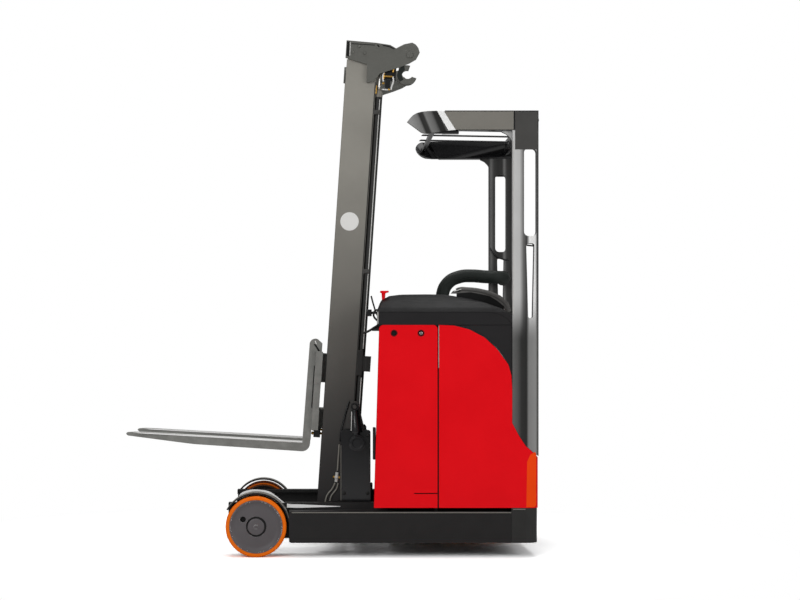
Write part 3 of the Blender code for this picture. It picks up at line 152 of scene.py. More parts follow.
def add_node(tree, kind, settings=None, **sockets):
    """A node with its settings, and with each named socket set to a value or linked."""
    node = tree.nodes.new(kind)
    for name, value in (settings or {}).items():
        setattr(node, name, value)
    for name, value in sockets.items():
        socket = node.inputs[int(name[1:]) if name[1:].isdigit() else name.replace("_", " ")]
        if isinstance(value, bpy.types.NodeSocket):
            tree.links.new(value, socket)
        else:
            socket.default_value = value
    return node


def give(tree, end, **results):
    """Links each result to the socket of that name at the tree's end."""
    for name, socket in results.items():
        tree.links.new(socket, end.inputs[name])
    return tree


def object_place(tree):
    return add_node(tree, "ShaderNodeTexCoord").outputs["Object"]


def map_range(tree, value, low, high, to_low=0.0, to_high=1.0, smooth=False):
    settings = {"interpolation_type": "SMOOTHSTEP" if smooth else "LINEAR"}
    return add_node(tree, "ShaderNodeMapRange", settings, Value=value, From_Min=low, From_Max=high,
                    To_Min=to_low, To_Max=to_high).outputs[0]


def maths(tree, operation, first, second=0.0, clamp=False):
    settings = {"operation": operation, "use_clamp": clamp}
    return add_node(tree, "ShaderNodeMath", settings, _0=first, _1=second).outputs[0]


def grain_group():
    """Fine skin of a surface: a height for bump and a slow variation of tone."""
    tree, start, end = shader_group("surface_grain", {"Scale": 400.0, "Patches": 5.0},
                                    {"Height": "Float", "Tone": "Float"})
    place = object_place(tree)
    fine = add_node(tree, "ShaderNodeTexNoise", Vector=place, Scale=start.outputs["Scale"],
                    Detail=3.0, Roughness=0.65)
    slow = add_node(tree, "ShaderNodeTexNoise", Vector=place, Scale=start.outputs["Patches"],
                    Detail=4.0, Roughness=0.6)
    return give(tree, end, Height=fine.outputs[0], Tone=slow.outputs[0])


def wear_group():
    """Rubbed edges: a mask where the surface turns sharply, and the normal of a rounded edge."""
    tree, start, end = shader_group("edge_wear", {"Radius": 0.002, "Amount": 0.5, "Scale": 60.0},
                                    {"Mask": "Float", "Normal": "Vector"})
    place = object_place(tree)
    soft = add_node(tree, "ShaderNodeBevel", {"samples": 4}, Radius=start.outputs["Radius"]).outputs[0]
    flat = add_node(tree, "ShaderNodeNewGeometry").outputs["Normal"]
    facing = add_node(tree, "ShaderNodeVectorMath", {"operation": "DOT_PRODUCT"}, _0=soft, _1=flat)
    turn = maths(tree, "SUBTRACT", 1.0, facing.outputs["Value"])
    nicks = add_node(tree, "ShaderNodeTexNoise", Vector=place, Scale=start.outputs["Scale"],
                     Detail=5.0, Roughness=0.7).outputs[0]
    edge = maths(tree, "MULTIPLY", turn, 9.0, clamp=True)
    spots = maths(tree, "MULTIPLY", maths(tree, "SUBTRACT", nicks, 0.42), 5.0, clamp=True)
    mask = maths(tree, "MULTIPLY", maths(tree, "MULTIPLY", edge, spots), start.outputs["Amount"])
    return give(tree, end, Mask=mask, Normal=soft)


def dust_and_top_shading_group():
    """A mask on what faces up, in soft patches: settled dust on most finishes, painted shade on the hood's
    plastic and painted highlight on the forks.
    """
    tree, start, end = shader_group("dust_and_top_shading_mask", {"Amount": 0.3, "Scale": 7.0}, {"Mask": "Float"})
    place = object_place(tree)
    normal = add_node(tree, "ShaderNodeNewGeometry").outputs["Normal"]
    up = add_node(tree, "ShaderNodeSeparateXYZ", Vector=normal).outputs["Z"]
    level = maths(tree, "POWER", maths(tree, "MAXIMUM", up, 0.0), 2.0)
    patches = add_node(tree, "ShaderNodeTexNoise", Vector=place, Scale=start.outputs["Scale"],
                       Detail=6.0, Roughness=0.7).outputs[0]
    mask = maths(tree, "MULTIPLY", maths(tree, "MULTIPLY", level, patches), start.outputs["Amount"])
    return give(tree, end, Mask=mask)


def fade_group():
    """A share that grows with height between two levels."""
    tree, start, end = shader_group("height_fade", {"Low": 0.3, "High": 2.5}, {"Share": "Float"})
    place = object_place(tree)
    height = add_node(tree, "ShaderNodeSeparateXYZ", Vector=place).outputs["Z"]
    share = map_range(tree, height, start.outputs["Low"], start.outputs["High"], smooth=True)
    return give(tree, end, Share=share)


GROUPS = {}


def place_group(tree, name, **values):
    makers = {"grain": grain_group, "wear": wear_group, "dust": dust_and_top_shading_group, "fade": fade_group}
    if name not in GROUPS:
        GROUPS[name] = makers[name]()
    node = tree.nodes.new("ShaderNodeGroup")
    node.node_tree = GROUPS[name]
    for label, value in values.items():
        node.inputs[label].default_value = value
    return node


def mix_colours(tree, share, first, second):
    node = add_node(tree, "ShaderNodeMix", {"data_type": "RGBA"}, _0=share)
    for socket, value in ((node.inputs[6], first), (node.inputs[7], second)):
        if isinstance(value, bpy.types.NodeSocket):
            tree.links.new(value, socket)
        else:
            socket.default_value = (*value, 1.0)
    return node.outputs[2]


def lighter(colour, factor):
    return tuple(min(1.0, part * factor) for part in colour)


def finish_material(name, colour, roughness, grain, depth, tone, wear, dust, metallic=0.0, coat=0.0,
                    patches=5.0, worn=None, painted_light_top_colour=None, fade=(0.0, 1.0), edge=None, shine=0.3,
                    dust_and_shading_film=srgb(150, 146, 138)):
    """A finish with grain, uneven tone, rubbed edges, a film on upward faces (settled dust on most
    finishes, painted shading on some), and a top colour of painted light if it fades.
    """
    sizes = bpy.context.scene.truck_sizes
    material = bpy.data.materials.new(name)
    material.use_nodes = True
    tree = material.node_tree
    shader = tree.nodes["Principled BSDF"]
    for socket, value in (("Metallic", metallic), ("Coat Weight", coat), ("Coat Roughness", 0.12),
                          ("Specular IOR Level", shine)):
        shader.inputs[socket].default_value = value
    skin = place_group(tree, "grain", Scale=grain, Patches=patches)
    edges = place_group(tree, "wear", Radius=edge or sizes.edge_radius, Amount=wear)
    dust_and_top_shading_node = place_group(tree, "dust", Amount=dust)
    base = (*colour, 1.0)
    # A top colour faded in by height paints light on the upper part
    if painted_light_top_colour:
        share = place_group(tree, "fade", Low=fade[0], High=fade[1]).outputs["Share"]
        base = mix_colours(tree, share, colour, painted_light_top_colour)
    level = map_range(tree, skin.outputs["Tone"], 0.3, 0.7, 1.0 - tone, 1.0 + tone)
    uneven = add_node(tree, "ShaderNodeHueSaturation", Color=base, Value=level).outputs[0]
    rubbed = mix_colours(tree, edges.outputs["Mask"], uneven, worn or lighter(colour, 3.0))
    # Upward faces take the film: settled dust, and on the hood's plastic and the forks painted shade and
    # painted highlight
    dust_and_top_shaded = mix_colours(tree, dust_and_top_shading_node.outputs["Mask"], rubbed, dust_and_shading_film)
    rough = map_range(tree, skin.outputs["Tone"], 0.25, 0.75, roughness - 0.06, roughness + 0.08)
    bump = add_node(tree, "ShaderNodeBump", Height=skin.outputs["Height"], Distance=depth / 1000,
                    Strength=1.0, Normal=edges.outputs["Normal"])
    give(tree, shader, **{"Base Color": dust_and_top_shaded, "Roughness": rough, "Normal": bump.outputs[0]})
    return material


# Painted reflections on the glossy posts and visor, as light and dark bands: (place along X, grey from 0
# to 255)
POST_PAINTED_REFLECTION_LOW = ((0.902, 100), (0.926, 84), (0.946, 46), (0.972, 38), (0.982, 130), (1.016, 142), (1.027, 60))
POST_PAINTED_REFLECTION_HIGH = ((0.902, 205), (0.938, 196), (0.955, 112), (0.972, 54), (0.979, 150), (0.986, 250),
             (1.014, 240), (1.022, 70))
POST_PAINTED_REFLECTION_INNER = ((0.852, 40), (0.902, 60), (0.912, 112), (0.928, 60), (0.95, 44), (0.975, 52), (0.986, 120),
              (1.0, 60), (1.027, 40))
VISOR_PAINTED_REFLECTION_BANDS = ((0.385, 150), (0.425, 120), (0.436, 44), (0.456, 52), (0.466, 128), (0.496, 104),
               (0.51, 40), (0.533, 36), (0.54, 90))


def painted_reflection_bands_group(name, low, high, inner):
    """Painted reflections: a grey that varies along X, by height from one row of bands to another, and by
    a third inside.
    """
    tree, start, end = shader_group(name, {"Low": 0.5, "High": 1.3}, {"Tint": "Color"})
    place = object_place(tree)
    parts = add_node(tree, "ShaderNodeSeparateXYZ", Vector=place)
    slant = 0.0 if inner else 0.42
    drop = maths(tree, "MULTIPLY", maths(tree, "SUBTRACT", parts.outputs["Z"], 2.19), slant)
    along = maths(tree, "ADD", parts.outputs["X"], drop)
    tints = []
    for row in (low, high, inner or low):
        first, last = row[0][0], row[-1][0]
        ramp = add_node(tree, "ShaderNodeValToRGB", _0=map_range(tree, along, first, last))
        stops = ramp.color_ramp.elements
        while len(stops) < len(row):
            stops.new(0.5)
        for stop, (x, grey) in zip(stops, row):
            stop.position = (x - first) / (last - first)
            stop.color = (*srgb(grey, grey, grey - 1), 1.0)
        tints.append(ramp.outputs[0])
    level = map_range(tree, parts.outputs["Z"], start.outputs["Low"], start.outputs["High"],
                      smooth=True)
    tint = mix_colours(tree, level, tints[0], tints[1])
    if inner:
        normal = add_node(tree, "ShaderNodeNewGeometry").outputs["Normal"]
        turned = add_node(tree, "ShaderNodeSeparateXYZ", Vector=normal).outputs["Y"]
        outward = maths(tree, "MULTIPLY", maths(tree, "MULTIPLY", turned, parts.outputs["Y"]), 20.0,
                        clamp=True)
        tint = mix_colours(tree, outward, tints[2], tint)
    return give(tree, end, Tint=tint)


def painted_reflection_material(name, low, high, fade, inner=None):
    """A glossy paint with soft light and dark bands of painted reflection."""
    material = finish_material(name, srgb(60, 60, 60), 0.34, 500, 0.1, 0.04, 0.1, 0.0)
    tree = material.node_tree
    bands = tree.nodes.new("ShaderNodeGroup")
    bands.node_tree = painted_reflection_bands_group(name + "_bands", low, high, inner)
    bands.inputs["Low"].default_value, bands.inputs["High"].default_value = fade
    level = next(node for node in tree.nodes if node.bl_idname == "ShaderNodeHueSaturation")
    tree.links.new(bands.outputs["Tint"], level.inputs["Color"])
    return material


def all_finishes(colours):
    """Every material of the truck by its own name."""
    # Colour, roughness, grain, its depth in mm, tone, wear, dust and painted top shading, and what else
    # differs
    rows = {
        "red_paint": (colours.body_red, 0.42, 160, 0.04, 0.03, 0.25, 0.03,
                       dict(coat=0.04, worn=lighter(colours.body_red, 1.3), shine=0.1)),
        "black_frame": (colours.frame_charcoal, 0.52, 520, 0.4, 0.14, 0.3, 0.15, dict(patches=14.0)),
        # Its near-black film on upward faces is painted shade on the hood's top
        "black_plastic": (colours.hood_black, 0.46, 900, 0.22, 0.08, 0.15, 2.4,
                       dict(dust_and_shading_film=srgb(6, 6, 6), shine=0.14)),
        "grey_trim": (colours.trim_grey, 0.42, 700, 0.12, 0.12, 0.2, 0.1, {}),
        # The mast's paint, faded by height from painted shade at the foot to painted light at the head
        "mast_steel": (colours.mast_paint_and_foot_shade, 0.5, 260, 0.12, 0.05, 0.4, 0.2,
                       dict(painted_light_top_colour=colours.mast_paint_and_head_light, fade=(0.25, 2.35))),
        "crown_paint": (colours.crown_grey, 0.5, 300, 0.15, 0.07, 0.5, 0.2, {}),
        "chrome_rod": (colours.bright_steel, 0.16, 700, 0.02, 0.05, 0.0, 0.05, dict(metallic=1.0)),
        "tyre_orange": (colours.tyre_orange, 0.42, 120, 0.08, 0.06, 0.1, 0.04,
                       dict(patches=9.0, shine=0.15)),
        "wheel_grey": (colours.disc_grey, 0.45, 420, 0.12, 0.06, 0.9, 0.1, dict(worn=srgb(215, 212, 210))),
        # Its pale film on upward faces is a painted highlight on the blades' tops; its pale rubbed edges
        # are wear and painted highlight
        "fork_steel": (colours.fork_grey, 0.46, 220, 0.3, 0.16, 0.7, 0.9,
                       dict(patches=18.0, worn=srgb(215, 215, 210))),
        "battery_grey": (srgb(58, 58, 60), 0.6, 300, 0.2, 0.12, 0.3, 0.3, {}),
        "soft_black": (colours.padding_green, 0.55, 650, 0.35, 0.08, 0.0, 0.05, {}),
        "chain_steel": (srgb(96, 90, 82), 0.38, 300, 0.2, 0.12, 0.3, 0.2, dict(metallic=0.8)),
        # Orange for the painted highlight on the covers' rear corners
        "orange_painted_highlight": (srgb(250, 72, 8), 0.42, 400, 0.2, 0.05, 0.1, 0.2, dict(shine=0.1)),
        "gloss_black": (srgb(22, 22, 24), 0.22, 500, 0.03, 0.12, 0.1, 0.05, dict(coat=0.6)),
        # Dark for holes, gaps and seams, and for painted shade and shadow strips
        "dark_hole_and_painted_shade": (srgb(10, 10, 10), 0.7, 400, 0.2, 0.12, 0.0, 0.02, {}),
        "pale_strip": (srgb(196, 194, 190), 0.38, 400, 0.2, 0.04, 0.1, 0.0, {}),
        "rail_grey": (srgb(128, 125, 118), 0.42, 500, 0.2, 0.05, 0.2, 0.05, {}),
        "leg_black": (srgb(27, 26, 26), 0.5, 520, 0.4, 0.14, 0.5, 0.05, dict(patches=14.0)),
        "corner_grey": (srgb(70, 69, 67), 0.46, 500, 0.2, 0.08, 0.3, 0.2, {}),
        "worn_orange": (srgb(128, 78, 44), 0.5, 400, 0.2, 0.1, 0.3, 0.1, {}),
        "brass": (colours.brass, 0.3, 500, 0.2, 0.12, 0.2, 0.2, dict(metallic=0.7)),
        "hose_rubber": (srgb(24, 24, 25), 0.6, 800, 0.3, 0.12, 0.1, 0.2, {}),
        "screen_glass": (srgb(16, 20, 22), 0.12, 400, 0.2, 0.12, 0.0, 0.0, dict(coat=0.8)),
        # White for painted highlight and reflection strips
        "painted_highlight_white": (srgb(252, 252, 251), 0.6, 400, 0.01, 0.0, 0.0, 0.0, dict(edge=0.0002)),
        # White for the sign and rim nicks, and for painted highlight lines
        "white_and_painted_highlight": (srgb(232, 231, 228), 0.4, 400, 0.2, 0.02, 0.0, 0.0, {}),
    }
    made = {name: finish_material(name, *row, **others) for name, (*row, others) in rows.items()}
    # Painted reflections on the posts and the visor
    made["post_painted_reflections"] = painted_reflection_material("post_painted_reflections", POST_PAINTED_REFLECTION_LOW, POST_PAINTED_REFLECTION_HIGH, (1.06, 1.3), POST_PAINTED_REFLECTION_INNER)
    made["visor_painted_reflections"] = painted_reflection_material("visor_painted_reflections", VISOR_PAINTED_REFLECTION_BANDS, VISOR_PAINTED_REFLECTION_BANDS, (0.0, 1.0))
    return made


FINISHES = {}


# Shape tools

def place_object(name, data):
    """A new object in the scene, at the origin and unturned."""
    piece = bpy.data.objects.new(name, data)
    bpy.context.scene.collection.objects.link(piece)
    return piece


class Shape:
    """Gathers the forms of one piece in one mesh, in the truck's frame or in a place's own.

    With a side's name, Y counts outward from the middle plane, and the piece's name ends with it.
    """

    def __init__(self, side="", place=Matrix()):
        self.mesh = bmesh.new()
        self.side = side
        self.place = place @ Matrix.Diagonal((1.0, SIDES.get(side, 1), 1.0, 1.0))

    def _take(self, verts):
        bmesh.ops.transform(self.mesh, matrix=self.place, verts=verts)
        return self

    def box(self, x, y, z):
        size = (x[1] - x[0], y[1] - y[0], z[1] - z[0])
        middle = ((x[1] + x[0]) / 2, (y[1] + y[0]) / 2, (z[1] + z[0]) / 2)
        form = Matrix.Translation(middle) @ Matrix.Diagonal((*size, 1.0))
        return self._take(bmesh.ops.create_cube(self.mesh, size=1.0, matrix=form)["verts"])

    def bar(self, start, end, radius, end_radius=None, sides=24, y=None):
        """A cylinder, a cone or, with few sides, a hexagon between two points, or at one Y."""
        start, end = points_at((start, end), y)
        turn = (end - start).to_track_quat("Z", "Y").to_matrix().to_4x4()
        made = bmesh.ops.create_cone(
            self.mesh, cap_ends=True, segments=sides, radius1=radius,
            radius2=radius if end_radius is None else end_radius, depth=(end - start).length,
            matrix=Matrix.Translation((start + end) / 2) @ turn)
        return self._take(made["verts"])

    def ball(self, centre, radius):
        made = bmesh.ops.create_uvsphere(self.mesh, u_segments=20, v_segments=12, radius=radius,
                                         matrix=Matrix.Translation(centre))
        return self._take(made["verts"])

    def plate(self, outline, y):
        """An outline of (x, z) points, from one Y to another."""
        sides = [[self.mesh.verts.new((x, level, z)) for x, z in outline] for level in y]
        self.mesh.faces.new(sides[0])
        self.mesh.faces.new(sides[1][::-1])
        for i in range(len(outline)):
            k = (i + 1) % len(outline)
            self.mesh.faces.new((sides[0][k], sides[0][i], sides[1][i], sides[1][k]))
        return self._take(sides[0] + sides[1])

    def lathe(self, profile, centre, axis=(0, 1, 0), steps=64, closed=False):
        """(radius, distance along the axis) points turned about an axis through the centre."""
        form = Matrix.Translation(centre) @ Vector(axis).to_track_quat("Z", "Y").to_matrix().to_4x4()
        rings = []
        for radius, along in profile:
            circle = ring_of(steps, radius) if radius else [(0, 0)]
            rings.append([self.mesh.verts.new(form @ Vector((*place, along))) for place in circle])
        for low, high in zip(rings, rings[1:] + (rings[:1] if closed else [])):
            if len(low) == len(high) == 1:
                continue
            for i in range(steps):
                k = (i + 1) % steps
                corners = [low[i % len(low)], low[k % len(low)], high[k % len(high)],
                           high[i % len(high)]]
                self.mesh.faces.new(dict.fromkeys(corners))
        return self._take([vert for ring in rings for vert in ring])

    def pipe(self, points, radius, sides=12, rounds=6, y=None):
        """A round bar or hose along a smooth curve through the points."""
        mesh = curve_mesh(points_at(points, y), radius, sides, rounds)
        before = set(self.mesh.verts)
        self.mesh.from_mesh(mesh)
        bpy.data.meshes.remove(mesh)
        return self._take([vert for vert in self.mesh.verts if vert not in before])

    def to_mesh(self, name):
        bmesh.ops.remove_doubles(self.mesh, verts=self.mesh.verts, dist=1e-6)
        bmesh.ops.recalc_face_normals(self.mesh, faces=self.mesh.faces)
        mesh = bpy.data.meshes.new(name)
        self.mesh.to_mesh(mesh)
        self.mesh.free()
        return mesh

    def piece(self, name, finish, body="root", ease=0.0, replaces=()):
        name += "_" + self.side if self.side else ""
        return add_piece(name, self.to_mesh(name), finish, body, ease, replaces)


def points_at(points, y):
    """Points as vectors. With a Y for all of them, each point gives its X and Z."""
    return [Vector(point) if y is None else Vector((point[0], y, point[1])) for point in points]


def ring_of(count, radius):
    """Points spaced evenly round a circle."""
    return [(radius * math.cos(a), radius * math.sin(a))
            for a in (math.tau * i / count for i in range(count))]


def arc_band(centre, outer, out, inner, back):
    """A band between two radii: out along one row of angles in degrees, back along another."""
    return [(centre[0] + radius * math.cos(a), centre[1] + radius * math.sin(a))
            for radius, turns in ((outer, out), (inner, back)) for a in map(math.radians, turns)]


def slat(half, low, high):
    """A flat bar one unit long along X, to be copied."""
    return Shape().box((-0.5, 0.5), (-half, half), (low, high)).to_mesh("slat")


def add_piece(name, mesh, finish, body, ease=0.0, replaces=(), sharp=35):
    """Links a mesh that is already in place, eases its edges and hangs it on a body."""
    mesh.materials.clear()
    mesh.materials.append(FINISHES[finish])
    mesh.shade_smooth()
    mesh.set_sharp_from_angle(angle=math.radians(sharp))
    piece = place_object(name, mesh)
    if ease:
        bevel = piece.modifiers.new("eased_edges", "BEVEL")
        bevel.width = ease
        bevel.segments = 3
        bevel.limit_method = "ANGLE"
        bevel.angle_limit = math.radians(32)
        bevel.harden_normals = True
    piece.modifiers.new("flat_faces", "WEIGHTED_NORMAL").keep_sharp = True
    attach(piece, body)
    if replaces:
        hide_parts(*replaces)
    return piece


def curve_mesh(points, radius, sides, rounds):
    curve = bpy.data.curves.new("path", "CURVE")
    curve.dimensions = "3D"
    curve.bevel_depth = radius
    curve.bevel_resolution = max(1, sides // 4)
    curve.use_fill_caps = True
    curve.resolution_u = rounds
    spline = curve.splines.new("BEZIER")
    spline.bezier_points.add(len(points) - 1)
    for knot, place in zip(spline.bezier_points, points):
        knot.co = place
        knot.handle_left_type = knot.handle_right_type = "AUTO"
    guide = place_object("path", curve)
    mesh = evaluated_mesh(guide)
    bpy.data.objects.remove(guide)
    bpy.data.curves.remove(curve)
    return mesh


def evaluated_mesh(piece):
    bpy.context.view_layer.update()
    graph = bpy.context.evaluated_depsgraph_get()
    return bpy.data.meshes.new_from_object(piece.evaluated_get(graph))


def carved(mesh, cutters):
    """The mesh with other shapes cut away."""
    body = place_object("carved", mesh)
    tools = [place_object("cutter", cutter) for cutter in cutters]
    for tool in tools:
        cut = body.modifiers.new("cut", "BOOLEAN")
        cut.operation = "DIFFERENCE"
        cut.object = tool
    result = evaluated_mesh(body)
    for spare in (body, *tools):
        bpy.data.objects.remove(spare)
    return result


def smooth_line(points, rounds=6):
    """More points on a Catmull-Rom curve through the given (x, z) points."""
    ends = [points[0], *points, points[-1]]
    line = []
    for a, b, c, d in zip(ends, ends[1:], ends[2:], ends[3:]):
        for i in range(rounds):
            t = i / rounds
            line.append(tuple(
                0.5 * (2 * q + (r - p) * t + (2 * p - 5 * q + 4 * r - s) * t * t
                       + (3 * q - p - 3 * r + s) * t ** 3) for p, q, r, s in zip(a, b, c, d)))
    return [*line, tuple(points[-1])]


# Copies on points, made with Geometry Nodes

def copies_group():
    """Copies of a template on a mesh's points, each along the point's own two directions."""
    tree = bpy.data.node_groups.new("copies_on_points", "GeometryNodeTree")
    for label, kind in (("Points", "Geometry"), ("Template", "Object"), ("Size", "Float"),
                        ("Loose turn", "Float"), ("Seed", "Int"), ("Finish", "Material")):
        tree.interface.new_socket(label, in_out="INPUT", socket_type="NodeSocket" + kind)
    tree.interface.new_socket("Copies", in_out="OUTPUT", socket_type="NodeSocketGeometry")
    start, end = tree.nodes.new("NodeGroupInput"), tree.nodes.new("NodeGroupOutput")
    template = add_node(tree, "GeometryNodeObjectInfo", Object=start.outputs["Template"])
    facing, across = (add_node(tree, "GeometryNodeInputNamedAttribute",
                               {"data_type": "FLOAT_VECTOR"}, Name=label).outputs["Attribute"]
                      for label in ("facing", "across"))
    aimed = add_node(tree, "FunctionNodeAlignRotationToVector", {"axis": "Z"}, Vector=facing)
    squared = add_node(tree, "FunctionNodeAlignRotationToVector", {"axis": "X", "pivot_axis": "Z"},
                       Rotation=aimed.outputs[0], Vector=across)
    loose = add_node(tree, "FunctionNodeRandomValue", {"data_type": "FLOAT"},
                     _3=start.outputs["Loose turn"], Seed=start.outputs["Seed"])
    spin = add_node(tree, "ShaderNodeCombineXYZ", Z=loose.outputs[1])
    turned = add_node(tree, "FunctionNodeRotateRotation", {"rotation_space": "LOCAL"},
                      Rotation=squared.outputs[0], Rotate_By=spin.outputs[0])
    placed = add_node(tree, "GeometryNodeInstanceOnPoints", Points=start.outputs["Points"],
                      Instance=template.outputs["Geometry"], Rotation=turned.outputs[0],
                      Scale=start.outputs["Size"])
    real = add_node(tree, "GeometryNodeRealizeInstances", Geometry=placed.outputs[0])
    dressed = add_node(tree, "GeometryNodeSetMaterial", Geometry=real.outputs[0],
                       Material=start.outputs["Finish"])
    tree.links.new(dressed.outputs[0], end.inputs[0])
    return tree


def copies(name, template, places, finish, body, size=1.0, loose=0.0, seed=1, replaces=()):
    """One piece made of copies of a template mesh at (point, facing, across) places."""
    if "copies" not in GROUPS:
        GROUPS["copies"] = copies_group()
    tree = GROUPS["copies"]
    sample = place_object("template", template)
    mesh = bpy.data.meshes.new("places")
    mesh.from_pydata([tuple(point) for point, _, _ in places], [], [])
    for label, index in (("facing", 1), ("across", 2)):
        layer = mesh.attributes.new(label, "FLOAT_VECTOR", "POINT")
        layer.data.foreach_set("vector", [part for row in places for part in row[index]])
    holder = place_object("places", mesh)
    repeat = holder.modifiers.new("copies", "NODES")
    repeat.node_group = tree
    values = {"Template": sample, "Size": size, "Loose turn": loose, "Seed": seed,
              "Finish": FINISHES[finish]}
    for item in tree.interface.items_tree:
        if item.in_out == "INPUT" and item.name in values:
            repeat[item.identifier] = values[item.name]
    result = evaluated_mesh(holder)
    for spare in (holder, sample):
        bpy.data.objects.remove(spare)
    return add_piece(name, result, finish, body, replaces=replaces)


def bolt_template():
    """A hexagon head on its washer, one unit across, that stands up along Z."""
    return (Shape()
            .bar((0, 0, -0.05), (0, 0, 0.1), 0.62, sides=20)
            .bar((0, 0, 0.1), (0, 0, 0.42), 0.5, sides=6)
            .bar((0, 0, 0.42), (0, 0, 0.47), 0.43, 0.36, sides=6)
            .to_mesh("bolt_template"))


def bolts(name, places, body, size=None, finish="chain_steel"):
    """Bolt heads at (point, facing) places."""
    size = size or bpy.context.scene.truck_sizes.bolt_head
    rows = [(point, facing, (0.0, 0.0, 1.0) if abs(facing[2]) < 0.5 else (1.0, 0.0, 0.0))
            for point, facing in places]
    return copies(name, bolt_template(), rows, finish, body, size=size, loose=math.tau, seed=7)


# The solids that wear another finish than their slot's, by name without the side
FINISH_OF_NODE = {"crown_plate": "crown_paint", "inner_crosshead": "crown_paint", "leg": "leg_black",
                  "guard_post": "post_painted_reflections", "carriage_frame": "gloss_black",
                  "tilt_rod": "gloss_black", "tilt_barrel": "gloss_black"}


class TRUCK_OT_finishes(bpy.types.Operator):
    """Gives every solid of the frame its finish."""

    bl_idname = "truck.finishes"
    bl_label = "Finishes"

    def execute(self, context):
        FINISHES.update(all_finishes(context.scene.truck_colours))
        for name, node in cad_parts.items():
            slots = node.data.materials
            slot = slots[0].name.split(".")[0] if slots and slots[0] else ""
            kind = name.removesuffix("_left").removesuffix("_right")
            finish = FINISH_OF_NODE.get(kind, slot)
            if finish not in FINISHES:
                raise RuntimeError(f"{name} has no finish named {finish!r}")
            node.material_slots[0].material = FINISHES[finish]
        return {"FINISHED"}


def interpolated(table, place):
    """A table's value at a place, straight between its rows and level beyond its ends."""
    for (a, low), (b, high) in zip(table, table[1:]):
        if place <= b:
            return low + (high - low) * max(0.0, (place - a) / (b - a))
    return table[-1][1]


def hood_heights(x, y):
    """The hood's top at a place: the lower of its run along the truck and across it, eased."""
    along = ((0.243, 1.214), (0.262, 1.264), (0.305, 1.29), (0.368, 1.3), (0.489, 1.303), (0.58, 1.3),
             (0.626, 1.291), (0.7, 1.275), (0.775, 1.254), (0.85, 1.223), (0.902, 1.191))
    across = ((0, 1.31), (0.2, 1.308), (0.37, 1.302), (0.44, 1.286), (0.5, 1.259), (0.552, 1.224),
              (0.57, 1.203))
    ease = 0.004
    levels = interpolated(along, x), interpolated(across, abs(y))
    least = min(levels)
    return least - ease * math.log(sum(math.exp((least - level) / ease) for level in levels))


def hood_mesh():
    """The hood as one crowned skin, with the cockpit's pocket and the mast's recess cut out."""
    low, front, rear, half = 1.1405, 0.243, 0.9015, 0.5695
    xs = [front + 0.062 * (i / 10) ** 1.5 for i in range(10)]
    xs += [0.305 + (rear - 0.305) * i / 34 for i in range(35)]
    ys = [-half + 0.07 * i / 10 for i in range(10)] + [-0.5 + i / 40 for i in range(41)]
    ys += [half - 0.07 * (1 - i / 10) for i in range(1, 11)]
    shell = Shape()
    skin = shell.mesh
    grid = [[skin.verts.new((x, y, hood_heights(x, y))) for y in ys] for x in xs]
    for a, b in zip(grid, grid[1:]):
        for i in range(len(ys) - 1):
            skin.faces.new((a[i], b[i], b[i + 1], a[i + 1]))
    rim = ([row[0] for row in grid] + grid[-1][1:] + [row[-1] for row in grid[-2::-1]]
           + grid[0][-2:0:-1])
    foot = [skin.verts.new((vert.co.x, vert.co.y, low)) for vert in rim]
    for i, vert in enumerate(rim):
        k = (i + 1) % len(rim)
        skin.faces.new((vert, rim[k], foot[k], foot[i]))
    skin.faces.new(foot)
    cuts = [Shape().box((0.62, 1.1), (-0.37, 0.37), (1.0, 1.5)),
            Shape().box((0.1, 0.29), (-0.42, 0.7), (1.0, 1.5))]
    cuts += [Shape(side).box((0.2, 0.795), (0.5675, 0.6), (1.1995, 1.2035)) for side in SIDES]
    return carved(shell.to_mesh("hood_shell"), [cut.to_mesh("cut") for cut in cuts])


